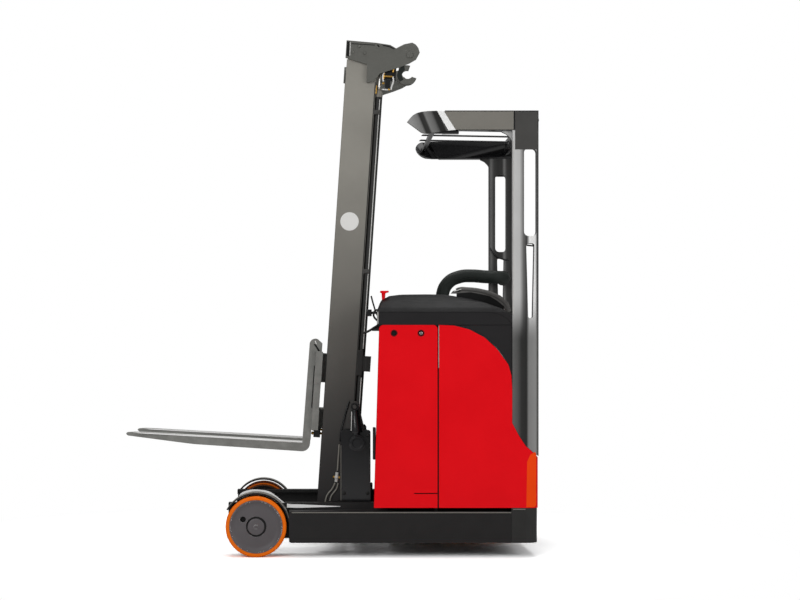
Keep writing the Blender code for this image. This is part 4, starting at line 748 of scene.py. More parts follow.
class TRUCK_OT_body(bpy.types.Operator):
    """Hood skin, seams, plugs, the lock, the cover's edge strips with a painted highlight at the rear
    corner, the skirt's highlight and joint, and a painted highlight band along the left leg.
    """

    bl_idname = "truck.body"
    bl_label = "Body mouldings"

    def execute(self, context):
        add_piece("hood_shell", hood_mesh(), "black_plastic", "root", 0.004, ("hood",), 30)
        ledge = Shape()
        for y in (-0.569, 0.569):
            ledge.pipe([(0.795, 1.2015), (0.84, 1.192), (0.88, 1.168), (0.899, 1.146)], 0.0016, 8, y=y)
        ledge.box((0.25, 0.615), (-0.566, 0.566), (1.1362, 1.1402)).piece("hood_seam", "dark_hole_and_painted_shade")
        for side in SIDES:
            self.covers(side)
            if side == "left":
                self.leg_lip()
        return {"FINISHED"}

    def covers(self, side):
        """Plugs, lock, splits, edge strips and seams of one side's covers, with a painted highlight on the
        rear corner and a highlight along the skirt.
        """
        plugs = Shape(side)
        for x in (0.322, 0.454):
            plugs.lathe([(0, -0.008), (0.014, -0.008), (0.014, -0.002), (0.015, -0.0005),
                         (0.016, 0.0012), (0.017, 0.0006), (0.0172, -0.001)], (x, 0.57, 1.1))
        plugs.piece("cover_plugs", "dark_hole_and_painted_shade")
        (Shape(side)
         .lathe([(0, -0.0035), (0.0072, -0.0035), (0.0086, -0.0045), (0.0086, -0.008)],
                (0.4545, 0.57, 1.0995), steps=24)
         .box((0.449, 0.46), (0.5655, 0.568), (1.0985, 1.1005))
         .piece("cover_lock", "chrome_rod"))
        (Shape(side)
         .box((0.5352, 0.5418), (0.54, 0.564), (0.245, 1.139))
         .box((0.4205, 0.5345), (0.552, 0.5622), (0.3116, 0.316))
         .piece("cover_split", "dark_hole_and_painted_shade"))
        (Shape(side)
         .box((0.5398, 0.5422), (0.56, 0.5706), (0.93, 1.136))
         .piece("cover_glint", "pale_strip", ease=0.0006))
        # A painted highlight on the cover's rounded rear corner, in orange
        (Shape(side)
         .plate([(0.97, 0.247), (1.01, 0.247), (1.018, 0.256), (1.019, 0.508), (1.012, 0.518),
                 (0.99, 0.504), (0.974, 0.47)], (0.56, 0.5709))
         .piece("cover_edge", "orange_painted_highlight", ease=0.0008))
        curve = smooth_line([(0.617, 1.138), (0.691, 1.119), (0.765, 1.08), (0.829, 1.021), (0.88, 0.947)],
                            5)
        Shape(side).pipe(curve[::3], 0.0022, 8, y=0.5685).piece("panel_curve_bead", "gloss_black")
        (Shape(side)
         .box((-0.18, 0.896), (0.566, 0.5712), (0.218, 0.2222))
         .box((0.905, 0.966), (0.566, 0.5712), (0.2345, 0.2385))
         .piece("skirt_highlight", "rail_grey", ease=0.001))
        (Shape(side)
         .box((0.8972, 0.8992), (0.53, 0.5695), (0.075, 0.2255))
         .piece("skirt_joint", "dark_hole_and_painted_shade"))

    def leg_lip(self):
        """A painted highlight band over the left wheel and along its leg."""
        over = [(-0.456, 0.262), (-0.446, 0.29), (-0.4294, 0.31), (-0.395, 0.323), (-0.356, 0.3262),
                (-0.2955, 0.317), (-0.251, 0.2885), (-0.218, 0.261), (-0.198, 0.255)]
        under = [(-0.198, 0.237), (-0.215, 0.237), (-0.24, 0.245), (-0.262, 0.255), (-0.3064, 0.29),
                 (-0.356, 0.3), (-0.4005, 0.29), (-0.44, 0.255)]
        (Shape("left")
         .plate([*smooth_line(over, 4), *under], (0.466, 0.4688))
         .plate([(-0.205, 0.237), (-0.205, 0.2565), (-0.185, 0.2537), (-0.14, 0.253), (0.06, 0.244),
                 (0.06, 0.242), (-0.14, 0.2358)], (0.4745, 0.4775))
         .piece("leg_lip", "painted_highlight_white"))


def roof_mesh():
    """The roof frame with a rounded front bar, cut short of the visor plate on the left."""
    underside, middle, radius, front = 2.0945, 2.144, 0.0495, 0.54
    nose = [(front - radius * math.sin(a), middle - radius * math.cos(a))
            for a in (math.pi * i / 16 for i in range(17))]
    cutter = Shape().plate([(0.3, 2.0), (front, 2.0), *nose, (front, 2.3), (0.3, 2.3)], (-0.53, 0.7))
    slot = Shape().plate([(0.3, 2.0), (0.605, 2.0), (0.626, underside), (0.569, 2.196), (0.563, 2.3),
                          (0.3, 2.3)], (-0.7, -0.53))
    return carved(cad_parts["roof_frame"].data.copy(),
                  (cutter.to_mesh("front"), slot.to_mesh("slot")))


class TRUCK_OT_guard(bpy.types.Operator):
    """Roof frame with its side covers, the visor plate with painted reflections and a white pane of
    painted reflection, and the guard posts' lines, one a painted highlight.
    """

    bl_idname = "truck.guard"
    bl_label = "Overhead guard"

    def execute(self, context):
        add_piece("roof_frame_bars", roof_mesh(), "gloss_black", "root", 0.0, ("roof_frame",), 30)
        over = smooth_line([(0.386, 2.135), (0.415, 2.168), (0.449, 2.183), (0.49, 2.1885)], 4)
        under = smooth_line([(0.488, 2.078), (0.458, 2.083), (0.427, 2.105), (0.386, 2.135)], 4)
        (Shape()
         .plate([*over, (0.532, 2.19), (0.587, 2.092), *under[:-1]], (-0.571, -0.548))
         .piece("visor_plate", "visor_painted_reflections", ease=0.0015))
        # A white pane across the visor's bend: painted reflection
        (Shape()
         .plate([(0.5335, 2.189), (0.5885, 2.093), (0.627, 2.096), (0.57, 2.187)], (-0.57, -0.566))
         .piece("visor_pane", "painted_highlight_white"))
        (Shape()
         .box((0.48, 0.64), (-0.566, -0.54), (2.08, 2.09))
         .box((0.56, 0.64), (-0.54, -0.525), (2.08, 2.13))
         .box((0.528, 0.548), (-0.566, 0.562), (2.136, 2.158))
         .piece("visor_tie", "gloss_black", ease=0.001))
        for side in SIDES:
            self.side_lines(side)
        rows = [((1.0262, sign * y, 2.145), (1, 0, 0)) for sign in (-1, 1) for y in (0.56, 0.46)]
        bolts("roof_bolts", rows, "root", 0.014)
        return {"FINISHED"}

    def side_lines(self, side):
        """The post's painted highlight line, the dark bead on its inner face, and the roof's side covers.
        """
        # A pale line along the post's front edge: painted highlight
        (Shape(side)
         .plate([(0.904, 1.19), (0.9075, 1.19), (0.909, 2.04), (0.9055, 2.04)], (0.562, 0.5712))
         .piece("post_bright_line", "pale_strip", ease=0.0006))
        bead = [(0.905, 1.598), (0.925, 1.57), (0.944, 1.549), (0.975, 1.536), (1.01, 1.531)]
        Shape(side).pipe(bead, 0.0042, y=0.5215).piece("post_inner_bead", "gloss_black")
        (Shape(side)
         .plate([(0.567, 2.186), (0.624, 2.097), (0.908, 2.097), (0.908, 2.186)], (0.562, 0.5722))
         .piece("roof_rail_cover", "rail_grey", ease=0.0015))
        (Shape(side)
         .plate([(0.915, 2.0), (1.026, 2.0), (1.026, 2.186), (0.915, 2.186)], (0.563, 0.5718))
         .piece("roof_corner_block", "corner_grey", ease=0.0015))


def both_ways(half):
    """A profile and its mirror image, as one closed loop."""
    return half + [(radius, -along) for radius, along in reversed(half)]


class TRUCK_OT_wheels(bpy.types.Operator):
    """Cast tyres and dished discs of the two load wheels, with caps, holes and rim nicks."""

    bl_idname = "truck.wheels"
    bl_label = "Load wheels"

    def execute(self, context):
        for side in SIDES:
            self.outside(side)
            self.inside(side)
            self.nicks(side)
            arch = arc_band((WHEEL_X, WHEEL_Z), 0.1683, range(9, 150, 7), 0.166, range(149, 8, -7))
            Shape(side).plate(arch, (0.48, 0.5575)).piece("fender_edge", "rail_grey", ease=0.0005)
        return {"FINISHED"}

    def outside(self, side):
        """A wheel's tyre, its dished disc with one hole, and the hub cap."""
        centre, body = (WHEEL_X, WHEEL_Y, WHEEL_Z), "load_wheel_" + side
        tyre = both_ways([(0.131, 0.0425), (0.134, 0.0448), (0.142, 0.0447), (0.1462, 0.0432),
                          (0.1488, 0.0398), (0.1499, 0.035), (0.15, 0.03)])
        (Shape(side)
         .lathe(tyre, centre, steps=96, closed=True)
         .piece("tyre", "tyre_orange", body, replaces=("load_tyre_" + side,)))
        disc = Shape(side).lathe(
            [(0.0246, 0.03), (0.043, 0.034), (0.045, 0.0325), (0.048, 0.0325), (0.05, 0.0378),
             (0.056, 0.0385), (0.098, 0.0345), (0.108, 0.035), (0.118, 0.0402), (0.1215, 0.0432),
             (0.1232, 0.044), (0.128, 0.0446), (0.1307, 0.0432), (0.1307, -0.043), (0.119, -0.041),
             (0.0246, -0.041)], centre, steps=96, closed=True)
        hole = Vector(centre) + Vector((-0.064, 0.02, 0.036))
        drill = Shape(side).bar(hole, hole + Vector((0, 0.04, 0)), 0.0145)
        disc = carved(disc.to_mesh("disc"), (drill.to_mesh("drill"),))
        add_piece("wheel_disc_" + side, disc, "wheel_grey", body, 0.0, ("load_hub_" + side,), 30)
        cap = [(0, 0.0422), (0.0085, 0.0422), (0.0095, 0.0412), (0.011, 0.0412), (0.012, 0.0424),
               (0.033, 0.042), (0.0385, 0.0408), (0.0412, 0.0385), (0.042, 0.0325), (0.04, 0.031),
               (0.0246, 0.0305)]
        Shape(side).lathe(cap, centre, steps=72).piece("hub_cap", "wheel_grey", body)
        (Shape(side)
         .lathe([(0, -0.001), (0.0142, -0.001), (0.0142, 0.001), (0, 0.001)],
                hole + Vector((0, 0.0015, 0)), steps=24)
         .piece("disc_hole_floor", "dark_hole_and_painted_shade", body))

    def inside(self, side):
        """The plate and worn rings on the wheel's inner face, and the groove about its cap with a painted
        shadow beside the cap.
        """
        centre, body = (WHEEL_X, WHEEL_Y, WHEEL_Z), "load_wheel_" + side
        (Shape(side)
         .lathe([(0.0246, -0.044), (0.12, -0.044), (0.1235, -0.0452), (0.13, -0.0452),
                 (0.131, -0.044), (0.145, -0.0446), (0.148, -0.042), (0.131, -0.0405),
                 (0.0246, -0.0405)], centre, steps=72, closed=True)
         .piece("wheel_inner_plate", "gloss_black", body))
        worn = Shape(side)
        for radius in (0.1265, 0.105):
            worn.lathe([(radius, -0.0435), (radius, -0.0457), (radius + 0.0035, -0.0457),
                        (radius + 0.0035, -0.0435)], centre, steps=72, closed=True)
        worn.piece("wheel_inner_rings", "worn_orange", body)
        # An off-centre dark disc behind the cap: painted shadow showing as a crescent beside it
        circle = [(WHEEL_X + 0.004 + x, WHEEL_Z + 0.002 + z) for x, z in ring_of(48, 0.047)]
        (Shape(side)
         .lathe([(0.041, 0.033), (0.0478, 0.033), (0.0478, 0.0336), (0.041, 0.0336)], centre,
                steps=72, closed=True)
         .plate(circle, (0.5632, 0.564))
         .piece("hub_cap_groove", "dark_hole_and_painted_shade", body))

    def nicks(self, side):
        """Small bright chips scattered over the disc's rim."""
        sign = SIDES[side]
        chip = Shape().box((-0.5, 0.5), (-0.16, 0.16), (-0.1, 0.1))
        chip.box((0.1, 0.7), (-0.05, 0.28), (-0.1, 0.1))
        rng = random.Random(11 if sign < 0 else 12)
        places = []
        for _ in range(46):
            around, radius = rng.uniform(0, math.tau), rng.uniform(0.1228, 0.1296)
            along, up = math.cos(around), math.sin(around)
            spot = (WHEEL_X + radius * along, sign * (WHEEL_Y + 0.0442), WHEEL_Z + radius * up)
            places.append((spot, (0, sign, 0), (-up, 0, along)))
        copies("rim_nicks_" + side, chip.to_mesh("chip"), places, "white_and_painted_highlight", "load_wheel_" + side,
               0.0042)


def link_template(pitch):
    """One pitch of a leaf chain along Z, its pins along X."""
    link = Shape()
    half, waist, cut = 0.0042, 0.003, 0.002
    for x, shift in ((-0.008, 0.0), (-0.0045, 0.5), (-0.001, 0.0), (0.0025, 0.5), (0.006, 0.0)):
        low, high = (shift - 0.47) * pitch, (shift + 0.47) * pitch
        outline = [(-half, low + cut), (0.0, low), (half, low + cut), (waist, (low + high) / 2),
                   (half, high - cut), (0.0, high), (-half, high - cut), (-waist, (low + high) / 2)]
        leaf = Shape(place=Matrix.Rotation(math.pi / 2, 4, "Z"))
        mesh = leaf.plate(outline, (-x - 0.0013, -x + 0.0013)).to_mesh("leaf")
        link.mesh.from_mesh(mesh)
        bpy.data.meshes.remove(mesh)
    return link.bar((-0.0098, 0, 0), (0.0098, 0, 0), 0.0022, sides=8).to_mesh("link")


def chain_places(sign, pitch):
    """Where the links of one lift chain lie: up behind the ram, over the sheave and down."""
    u, low, top, end, radius, y = 0.03, 0.302, 1.5, 0.574, 0.046, sign * 0.055
    run = [((u + radius, low + i * pitch), (0, 1)) for i in range(int((top - low) / pitch))]
    turns = int(math.pi * radius / pitch)
    for angle in (math.pi * i / turns for i in range(turns + 1)):
        run.append(((u + radius * math.cos(angle), top + radius * math.sin(angle)),
                    (-math.sin(angle), math.cos(angle))))
    run += [((u - radius, top - (i + 1) * pitch), (0, -1)) for i in range(int((top - end) / pitch))]
    return [(TO_MAST @ Vector((a, y, w)), MAST_TURN @ Vector((du, 0, dw)), (0, 1, 0))
            for (a, w), (du, dw) in run]


class TRUCK_OT_mast(bpy.types.Operator):
    """Fittings, clamps, pipes, bracket and sign of the mast, its crown, and the lift chains."""

    bl_idname = "truck.mast"
    bl_label = "Mast"

    def execute(self, context):
        pitch = context.scene.truck_sizes.link_pitch
        for side, sign in SIDES.items():
            copies("leaf_chain_" + side, link_template(pitch), chain_places(sign, pitch),
                   "chain_steel", "free_lift_head", replaces=("lift_chain_" + side,))
            self.lift(side)
            self.crown(side)
            disc = [(0, 0.001), (0.046, 0.001), (0.0465, 0)]
            (Shape(side, TO_MAST)
             .lathe(disc, DISC_CENTRE, steps=48)
             .piece("blank_disc", "white_and_painted_highlight", "outer_mast"))
            self.crown_plate(side)
        self.bolting()
        self.fittings()
        for side in SIDES:
            self.pipes(side)
        return {"FINISHED"}

    def lift(self, side):
        """Gland, clamps, bracket, a painted highlight line along a lift ram, and a painted shade strip at
        the web's edge.
        """
        gland = [(0.0128, 0), (0.019, 0), (0.0195, 0.003), (0.0195, 0.026), (0.0175, 0.034),
                 (0.015, 0.036), (0.015, 0.043), (0.0128, 0.044)]
        (Shape(side, TO_MAST)
         .lathe(gland, (0.116, 0.325, 2.108), (0, 0, 1), 32, closed=True)
         .piece("lift_gland", "rail_grey", "outer_mast"))
        clamp = Shape(side, TO_MAST)
        for w in (0.3, 1.226, 2.029):
            clamp.box((0.092, 0.127), (0.301, 0.351), (w - 0.011, w + 0.011))
            clamp.bar((0.11, 0.346, w), (0.11, 0.3545, w), 0.0085, sides=6)
        clamp.piece("lift_clamps", "corner_grey", "outer_mast", 0.0015)
        (Shape(side, TO_MAST)
         .box((0.0975, 0.123), (0.3445, 0.353), (0.7, 0.829))
         .box((0.121, 0.164), (0.3445, 0.3505), (0.722, 0.8))
         .box((0.1385, 0.164), (0.31, 0.3505), (0.722, 0.8))
         .piece("mast_bracket", "black_frame", "outer_mast", 0.0015))
        # Pale lines along the ram's barrel: painted highlight
        (Shape(side, TO_MAST)
         .bar((0.1215, 0.342, 0.08), (0.1215, 0.342, 0.69), 0.0021, sides=8)
         .bar((0.1215, 0.342, 0.835), (0.1215, 0.342, 2.095), 0.0021, sides=8)
         .piece("lift_bright_line", "white_and_painted_highlight", "outer_mast"))
        # A dark strip at the web's rear edge: painted shade in the gap before the ram
        (Shape(side, TO_MAST)
         .box((0.0905, 0.0955), (0.347, 0.3507), (0.52, 2.18))
         .piece("web_edge", "black_frame", "outer_mast", 0.0006))

    def crown(self, side):
        """Dark lines along a crown plate's edges, partly painted shadow, a painted highlight line, and the
        cap on its pin.
        """
        y = (0.366, 0.369)
        # Dark lines along the plate's edges; the one at its left edge is painted shadow
        (Shape(side, TO_MAST)
         .plate([(-0.0615, 2.372), (-0.05, 2.371), (-0.048, 2.296), (-0.061, 2.3)], y)
         .box((-0.04, 0.078), y, (2.36, 2.3635))
         .plate([(0.088, 2.364), (0.094, 2.366), (0.104, 2.356), (0.097, 2.353)], y)
         .plate([(0.118, 2.3665), (0.156, 2.3615), (0.18, 2.35), (0.176, 2.3465), (0.152, 2.356),
                 (0.118, 2.361)], y)
         .piece("crown_dark_lines", "dark_hole_and_painted_shade", "inner_mast", 0.0005))
        # A pale line at the plate's left edge: painted highlight
        (Shape(side, TO_MAST)
         .plate([(-0.047, 2.37), (-0.044, 2.37), (-0.042, 2.3), (-0.045, 2.3)], (0.366, 0.3688))
         .piece("crown_pale_line", "white_and_painted_highlight", "inner_mast"))
        (Shape(side, TO_MAST)
         .lathe([(0, 0.0078), (0.0115, 0.0078), (0.0135, 0.006), (0.015, 0.0062), (0.0166, 0.0045),
                 (0.0166, 0)], (0.257, 0.3675, 2.325), steps=32)
         .piece("crown_pin_cap", "crown_paint", "inner_mast"))

    def crown_plate(self, side):
        """The crown's side plate, notched at the left for the unions and at the right end."""
        if side == "left":
            notch = Shape(place=TO_MAST).plate([(0.11, 2.1), (0.187, 2.1), (0.187, 2.238),
                                                (0.117, 2.214), (0.11, 2.212)], (-0.4, -0.27))
        else:
            notch = Shape().bar((0.438, 0.27, 2.542), (0.438, 0.4, 2.542), 0.031, sides=48)
        node = "crown_plate_" + side
        mesh = carved(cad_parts[node].data.copy(), (notch.to_mesh("notch"),))
        add_piece("crown_side_" + side, mesh, "crown_paint", "inner_mast", 0.0, (node,), 30)

    def bolting(self):
        rows = [(TO_MAST @ Vector((u, sign * 0.3675, w)), (0, sign, 0)) for sign in (-1, 1)
                for u, w in ((-0.03, 2.318), (0.03, 2.318), (0.0, 2.35))]
        bolts("crown_bolts", rows, "inner_mast", 0.013, "crown_paint")
        rows = [(TO_MAST @ Vector((0.113, sign * y, w)), MAST_TURN @ Vector((1, 0, 0)))
                for sign in (-1, 1) for y in (0.235, 0.275) for w in (0.065, 1.22, 2.06)]
        bolts("crossbar_bolts", rows, "outer_mast", 0.015)

    def fittings(self):
        """Unions, valve block and short pipes under the left crown plate."""
        (Shape(place=TO_MAST)
         .box((0.14, 0.17), (-0.359, -0.327), (2.15, 2.196))
         .box((0.125, 0.195), (-0.341, -0.335), (2.19, 2.262))
         .piece("crown_valve_block", "gloss_black", "inner_mast", 0.002))
        brass = Shape(place=TO_MAST)
        for start, end, radius in (((0.136, 2.212), (0.18, 2.212), 0.005),
                                   ((0.133, 2.196), (0.133, 2.24), 0.0048),
                                   ((0.14, 2.176), (0.129, 2.176), 0.006),
                                   ((0.164, 2.152), (0.164, 2.143), 0.006),
                                   ((0.179, 2.235), (0.179, 2.255), 0.006)):
            brass.bar(start, end, radius, sides=6, y=-0.351)
        brass.piece("crown_unions", "brass", "inner_mast", 0.0008)
        (Shape(place=TO_MAST)
         .pipe([(0.18, 2.212), (0.184, 2.19), (0.176, 2.16), (0.174, 2.146)], 0.0042, y=-0.353)
         .pipe([(0.133, 2.236), (0.129, 2.205), (0.134, 2.185)], 0.004, y=-0.353)
         .bar((0.128, 2.145), (0.162, 2.145), 0.0032, sides=12, y=-0.351)
         .piece("crown_pipes", "white_and_painted_highlight", "inner_mast"))
        (Shape(place=TO_MAST)
         .box((0.0985, 0.103), (-0.352, -0.344), (2.12, 2.162))
         .piece("crown_orange_clip", "brass", "outer_mast", 0.0008))
        guide = arc_band((0.25, 2.224), 0.049, range(110, 236, 9), 0.0262, range(235, 109, -9))
        (Shape(place=TO_MAST)
         .plate(guide, (-0.359, -0.355))
         .piece("hose_guide_lining", "soft_black", "inner_mast", 0.0006))

    def pipes(self, side):
        """Pipes that run down an outer channel beside the tilt cylinder."""
        y = 0.3555
        (Shape(side)
         .pipe([(0.105, 0.763), (0.093, 0.722), (0.078, 0.665), (0.065, 0.612), (0.06, 0.56)], 0.0042,
               y=y)
         .piece("mast_hose", "gloss_black", "outer_mast"))
        (Shape(side)
         .bar((0.056, 0.545), (0.0465, 0.412), 0.0038, y=y)
         .pipe([(0.035, 0.352), (0.023, 0.326), (-0.006, 0.287), (-0.0135, 0.262), (-0.015, 0.246)],
               0.004, y=y)
         .pipe([(0.05, 0.35), (0.042, 0.322), (0.016, 0.285), (0.009, 0.262), (0.006, 0.246)], 0.004,
               y=y)
         .piece("mast_pipes", "rail_grey", "outer_mast"))
        (Shape(side)
         .bar((0.0245, 0.382), (0.06, 0.378), 0.0065, sides=6, y=y)
         .piece("mast_knuckle_ends", "brass", "outer_mast", 0.001))
        (Shape(side)
         .ball((0.042, y, 0.3795), 0.0115)
         .bar((0.045, 0.404), (0.04, 0.356), 0.0082, sides=6, y=y)
         .piece("mast_knuckle", "pale_strip", "outer_mast"))


class TRUCK_OT_carriages(bpy.types.Operator):
    """Tilt cylinders, reach carriage trims with a painted highlight edge, and the fork carriage's latches,
    stops and lines, some painted highlights.
    """

    bl_idname = "truck.carriages"
    bl_label = "Carriages"

    def execute(self, context):
        for side in SIDES:
            self.tilt_cylinder(side)
            self.reach_trims(side)
            self.latch(side)
        for side in SIDES:
            self.fork_lines(side)
        rows = [(TO_MAST @ Vector((-0.114, y, w)), MAST_TURN @ Vector((-1, 0, 0)))
                for y in (-0.12, 0.0, 0.12) for w in (0.73, 0.46)]
        bolts("fork_bar_bolts", rows, "fork_carriage", 0.014, "fork_steel")
        rows = [((x, sign * 0.369, z), (0, sign, 0)) for sign in (-1, 1)
                for x, z in ((0.08, 0.3), (0.198, 0.3), (0.198, 0.59))]
        bolts("carriage_bolts", rows, "reach_carriage", 0.015, "black_frame")
        return {"FINISHED"}

    def tilt_cylinder(self, side):
        """Boot on a tilt rod with a painted highlight along it, and the cap on the barrel's eye."""
        foot, head = Vector((0.146, 0.395, 0.553)), Vector((0.132, 0.395, 0.735))
        along, front = (head - foot).normalized(), Vector((-0.0215, 0.0105, 0.0))
        (Shape(side)
         .lathe([(0.0175, 0.052), (0.0285, 0.052), (0.03, 0.056), (0.027, 0.085), (0.023, 0.112),
                 (0.0195, 0.14), (0.0175, 0.16), (0.0175, 0.166), (0.011, 0.168)], foot, along, 32)
         .piece("tilt_boot", "gloss_black", "tilt_rod_" + side))
        # A pale line down the boot's front: painted highlight
        highlight_points = [foot + front * out + along * up
                  for out, up in ((1.2, 0.062), (1.02, 0.1), (0.86, 0.135), (0.76, 0.158))]
        Shape(side).pipe(highlight_points, 0.0022, 8).piece("tilt_boot_streak", "white_and_painted_highlight", "tilt_rod_" + side)
        (Shape(side)
         .lathe([(0, 0.005), (0.0135, 0.005), (0.016, 0.003), (0.0225, 0.0028), (0.025, 0.005),
                 (0.033, 0.0048), (0.036, 0.002), (0.0405, 0.0016), (0.0418, 0)],
                (foot.x, 0.413, foot.z), steps=48)
         .piece("tilt_eye_cap", "gloss_black", "tilt_barrel_" + side))

    def reach_trims(self, side):
        """Painted highlight edge, top blocks and buffer of the reach carriage."""
        # A pale strip on the carriage plate's front edge: painted highlight
        (Shape(side)
         .box((0.063, 0.066), (0.356, 0.37), (0.264, 0.54))
         .piece("carriage_edge", "rail_grey", "reach_carriage", 0.0006))
        (Shape(side)
         .box((0.078, 0.112), (0.3575, 0.3615), (0.6175, 0.626))
         .box((0.172, 0.19), (0.3575, 0.3615), (0.6175, 0.638))
         .bar((0.181, 0.636), (0.181, 0.646), 0.006, sides=6, y=0.3595)
         .piece("carriage_top_blocks", "black_frame", "reach_carriage", 0.001))
        (Shape(side)
         .box((0.214, 0.224), (0.3, 0.35), (0.3, 0.35))
         .piece("carriage_buffer", "hose_rubber", "reach_carriage", 0.004))

    def latch(self, side):
        y = 0.262
        (Shape(side, TO_MAST)
         .box((-0.1, -0.066), (y - 0.014, y + 0.014), (0.372, 0.409))
         .piece("fork_latch", "gloss_black", "fork_carriage", 0.002))
        (Shape(side, TO_MAST)
         .bar((-0.112, 0.392), (-0.098, 0.392), 0.0065, sides=8, y=y)
         .bar((-0.068, 0.394), (-0.05, 0.39), 0.007, 0.004, 8, y=y)
         .bar((-0.104, 0.4), (-0.104, 0.384), 0.004, sides=8, y=y)
         .piece("fork_latch_pins", "brass", "fork_carriage", 0.0006))

    def fork_lines(self, side):
        """Dark lines along a fork's shank, and painted highlights along its blade and at the shank's top.
        """
        (Shape(side, TO_MAST)
         .plate([(-0.128, 0.842), (-0.12, 0.846), (-0.096, 0.812), (-0.101, 0.806)], (0.3095, 0.3118))
         .plate([(-0.1205, 0.735), (-0.1165, 0.735), (-0.1165, 0.52), (-0.1205, 0.52)],
                (0.3095, 0.3116))
         .piece("shank_dark_lines", "dark_hole_and_painted_shade", "fork_carriage", 0.0005))
        # Pale strips along each blade's top edges: painted highlights
        worn = Shape(side)
        for y in ((0.3095, 0.3112), (0.2088, 0.2105)):
            worn.plate([(-0.99, 0.604), (-0.95, 0.603), (-0.13, 0.5575), (-0.13, 0.552),
                        (-0.95, 0.5985)], y)
        worn.piece("blade_worn_edges", "painted_highlight_white", "fork_carriage")
        (Shape(side, TO_MAST)
         .plate([(-0.124, 0.858), (-0.12, 0.862), (-0.114, 0.845), (-0.118, 0.842)], (0.3095, 0.3114))
         .piece("shank_glint", "white_and_painted_highlight", "fork_carriage"))


# Padding, filled with Blender's cloth

def soft_mesh(name, mesh, voxel, held, pressure):
    """A form skinned in cloth and blown up a little, held where a test of a point says so."""
    most, frames = 0.012, 20
    piece = place_object(name, mesh)
    remesh = piece.modifiers.new("skin", "REMESH")
    remesh.mode = "VOXEL"
    remesh.voxel_size = voxel
    skin = evaluated_mesh(piece)
    piece.modifiers.clear()
    piece.data = skin
    pins = piece.vertex_groups.new(name="held")
    pins.add([vert.index for vert in skin.vertices if held(vert.co)], 1.0, "REPLACE")
    cloth = piece.modifiers.new("filling", "CLOTH").settings
    cloth.quality = 5
    cloth.mass = 0.3
    cloth.use_pressure = True
    cloth.uniform_pressure_force = pressure
    cloth.effector_weights.gravity = 0.0
    cloth.vertex_group_mass = "held"
    cloth.tension_stiffness = cloth.compression_stiffness = 25
    cloth.bending_stiffness = 0.4
    for count in range(1, frames + 1):
        bpy.context.scene.frame_set(count)
    filled = evaluated_mesh(piece)
    bpy.context.scene.frame_set(1)
    piece.modifiers.clear()
    for vert, start in zip(filled.vertices, skin.vertices):
        move = vert.co - start.co
        if move.length > most:
            vert.co = start.co + move * (most / move.length)
    piece.data = filled
    smooth = piece.modifiers.new("smooth", "SUBSURF")
    smooth.levels = smooth.render_levels = 1
    result = evaluated_mesh(piece)
    bpy.data.objects.remove(piece)
    return result


def rounded_box(x, y, z, radius):
    """A box with wide soft corners, as a mesh."""
    holder = place_object("form", Shape().box(x, y, z).to_mesh("form"))
    bevel = holder.modifiers.new("round", "BEVEL")
    bevel.width = radius
    bevel.segments = 4
    mesh = evaluated_mesh(holder)
    bpy.data.objects.remove(holder)
    return mesh


class TRUCK_OT_padding(bpy.types.Operator):
    """Padded hoop beside the operator, and the seat pad with its sewn channels."""

    bl_idname = "truck.padding"
    bl_label = "Padding"

    def execute(self, context):
        self.hoop()
        self.seat()
        return {"FINISHED"}

    def hoop(self):
        """The padded hoop with a cuff at each end."""
        path = ((0.64, 0.43, 1.262), (0.634, 0.43, 1.33), (0.665, 0.43, 1.398), (0.73, 0.43, 1.432),
                (0.8, 0.43, 1.437), (0.87, 0.43, 1.432), (0.93, 0.43, 1.43), (0.972, 0.462, 1.429),
                (0.978, 0.524, 1.429))

        def held(co):
            return co.z < path[0][2] + 0.01 or (co.y > 0.5 and co.x > 0.9)

        hoop = soft_mesh("backrest_padding", curve_mesh(path, 0.0365, 24, 10), 0.005, held, 3.0)
        hoop = add_piece("backrest_padding", hoop, "soft_black", "root", 0.0, ("backrest_hoop",), 80)
        (Shape()
         .lathe([(0.033, 0), (0.0405, 0), (0.0415, 0.004), (0.041, 0.016), (0.033, 0.018)],
                (0.64, 0.43, 1.264), (-0.07, 0, 1), 40, closed=True)
         .lathe([(0, 0), (0.0405, 0), (0.041, -0.01), (0.033, -0.012), (0, -0.012)],
                (path[-1][0], 0.5244, path[-1][2]), steps=40)
         .piece("backrest_cuffs", "gloss_black"))

    def seat(self):
        """The seat pad with sewn channels, and the piping round its foot."""
        x, y, z = (0.583, 0.966), (-0.109, 0.441), (0.7008, 0.77)
        seams, top, groove, depth = (0.075, 0.165, 0.257), 0.74, 0.012, 0.0045

        def from_seam(co):
            return min(abs(co.y - seam) for seam in seams)

        def held(co):
            return co.z < 0.704 or (from_seam(co) < 0.004 and co.z > top)

        pad = soft_mesh("seat_padding", rounded_box(x, y, z, 0.022), 0.006, held, 5.0)
        for vert in pad.vertices:
            near = from_seam(vert.co)
            if vert.co.z > top and near < groove:
                vert.co.z -= depth * math.cos(near / groove * math.pi / 2)
        pad = add_piece("seat_padding", pad, "soft_black", "root", 0.0, ("seat_pad",), 80)
        inset, r, loop = 0.001, 0.02, []
        west, east, south, north = x[0] + inset + r, x[1] - inset - r, y[0] + inset + r, y[1] - inset - r
        for cx, cy, start in ((east, north, 0), (west, north, 90), (west, south, 180), (east, south, 270)):
            loop += [(cx + r * math.cos(a), cy + r * math.sin(a), 0.706)
                     for a in (math.radians(start + turn) for turn in (0, 45, 90))]
        Shape().pipe(loop + loop[:1], 0.0032, 8, 4).piece("seat_piping", "hose_rubber")


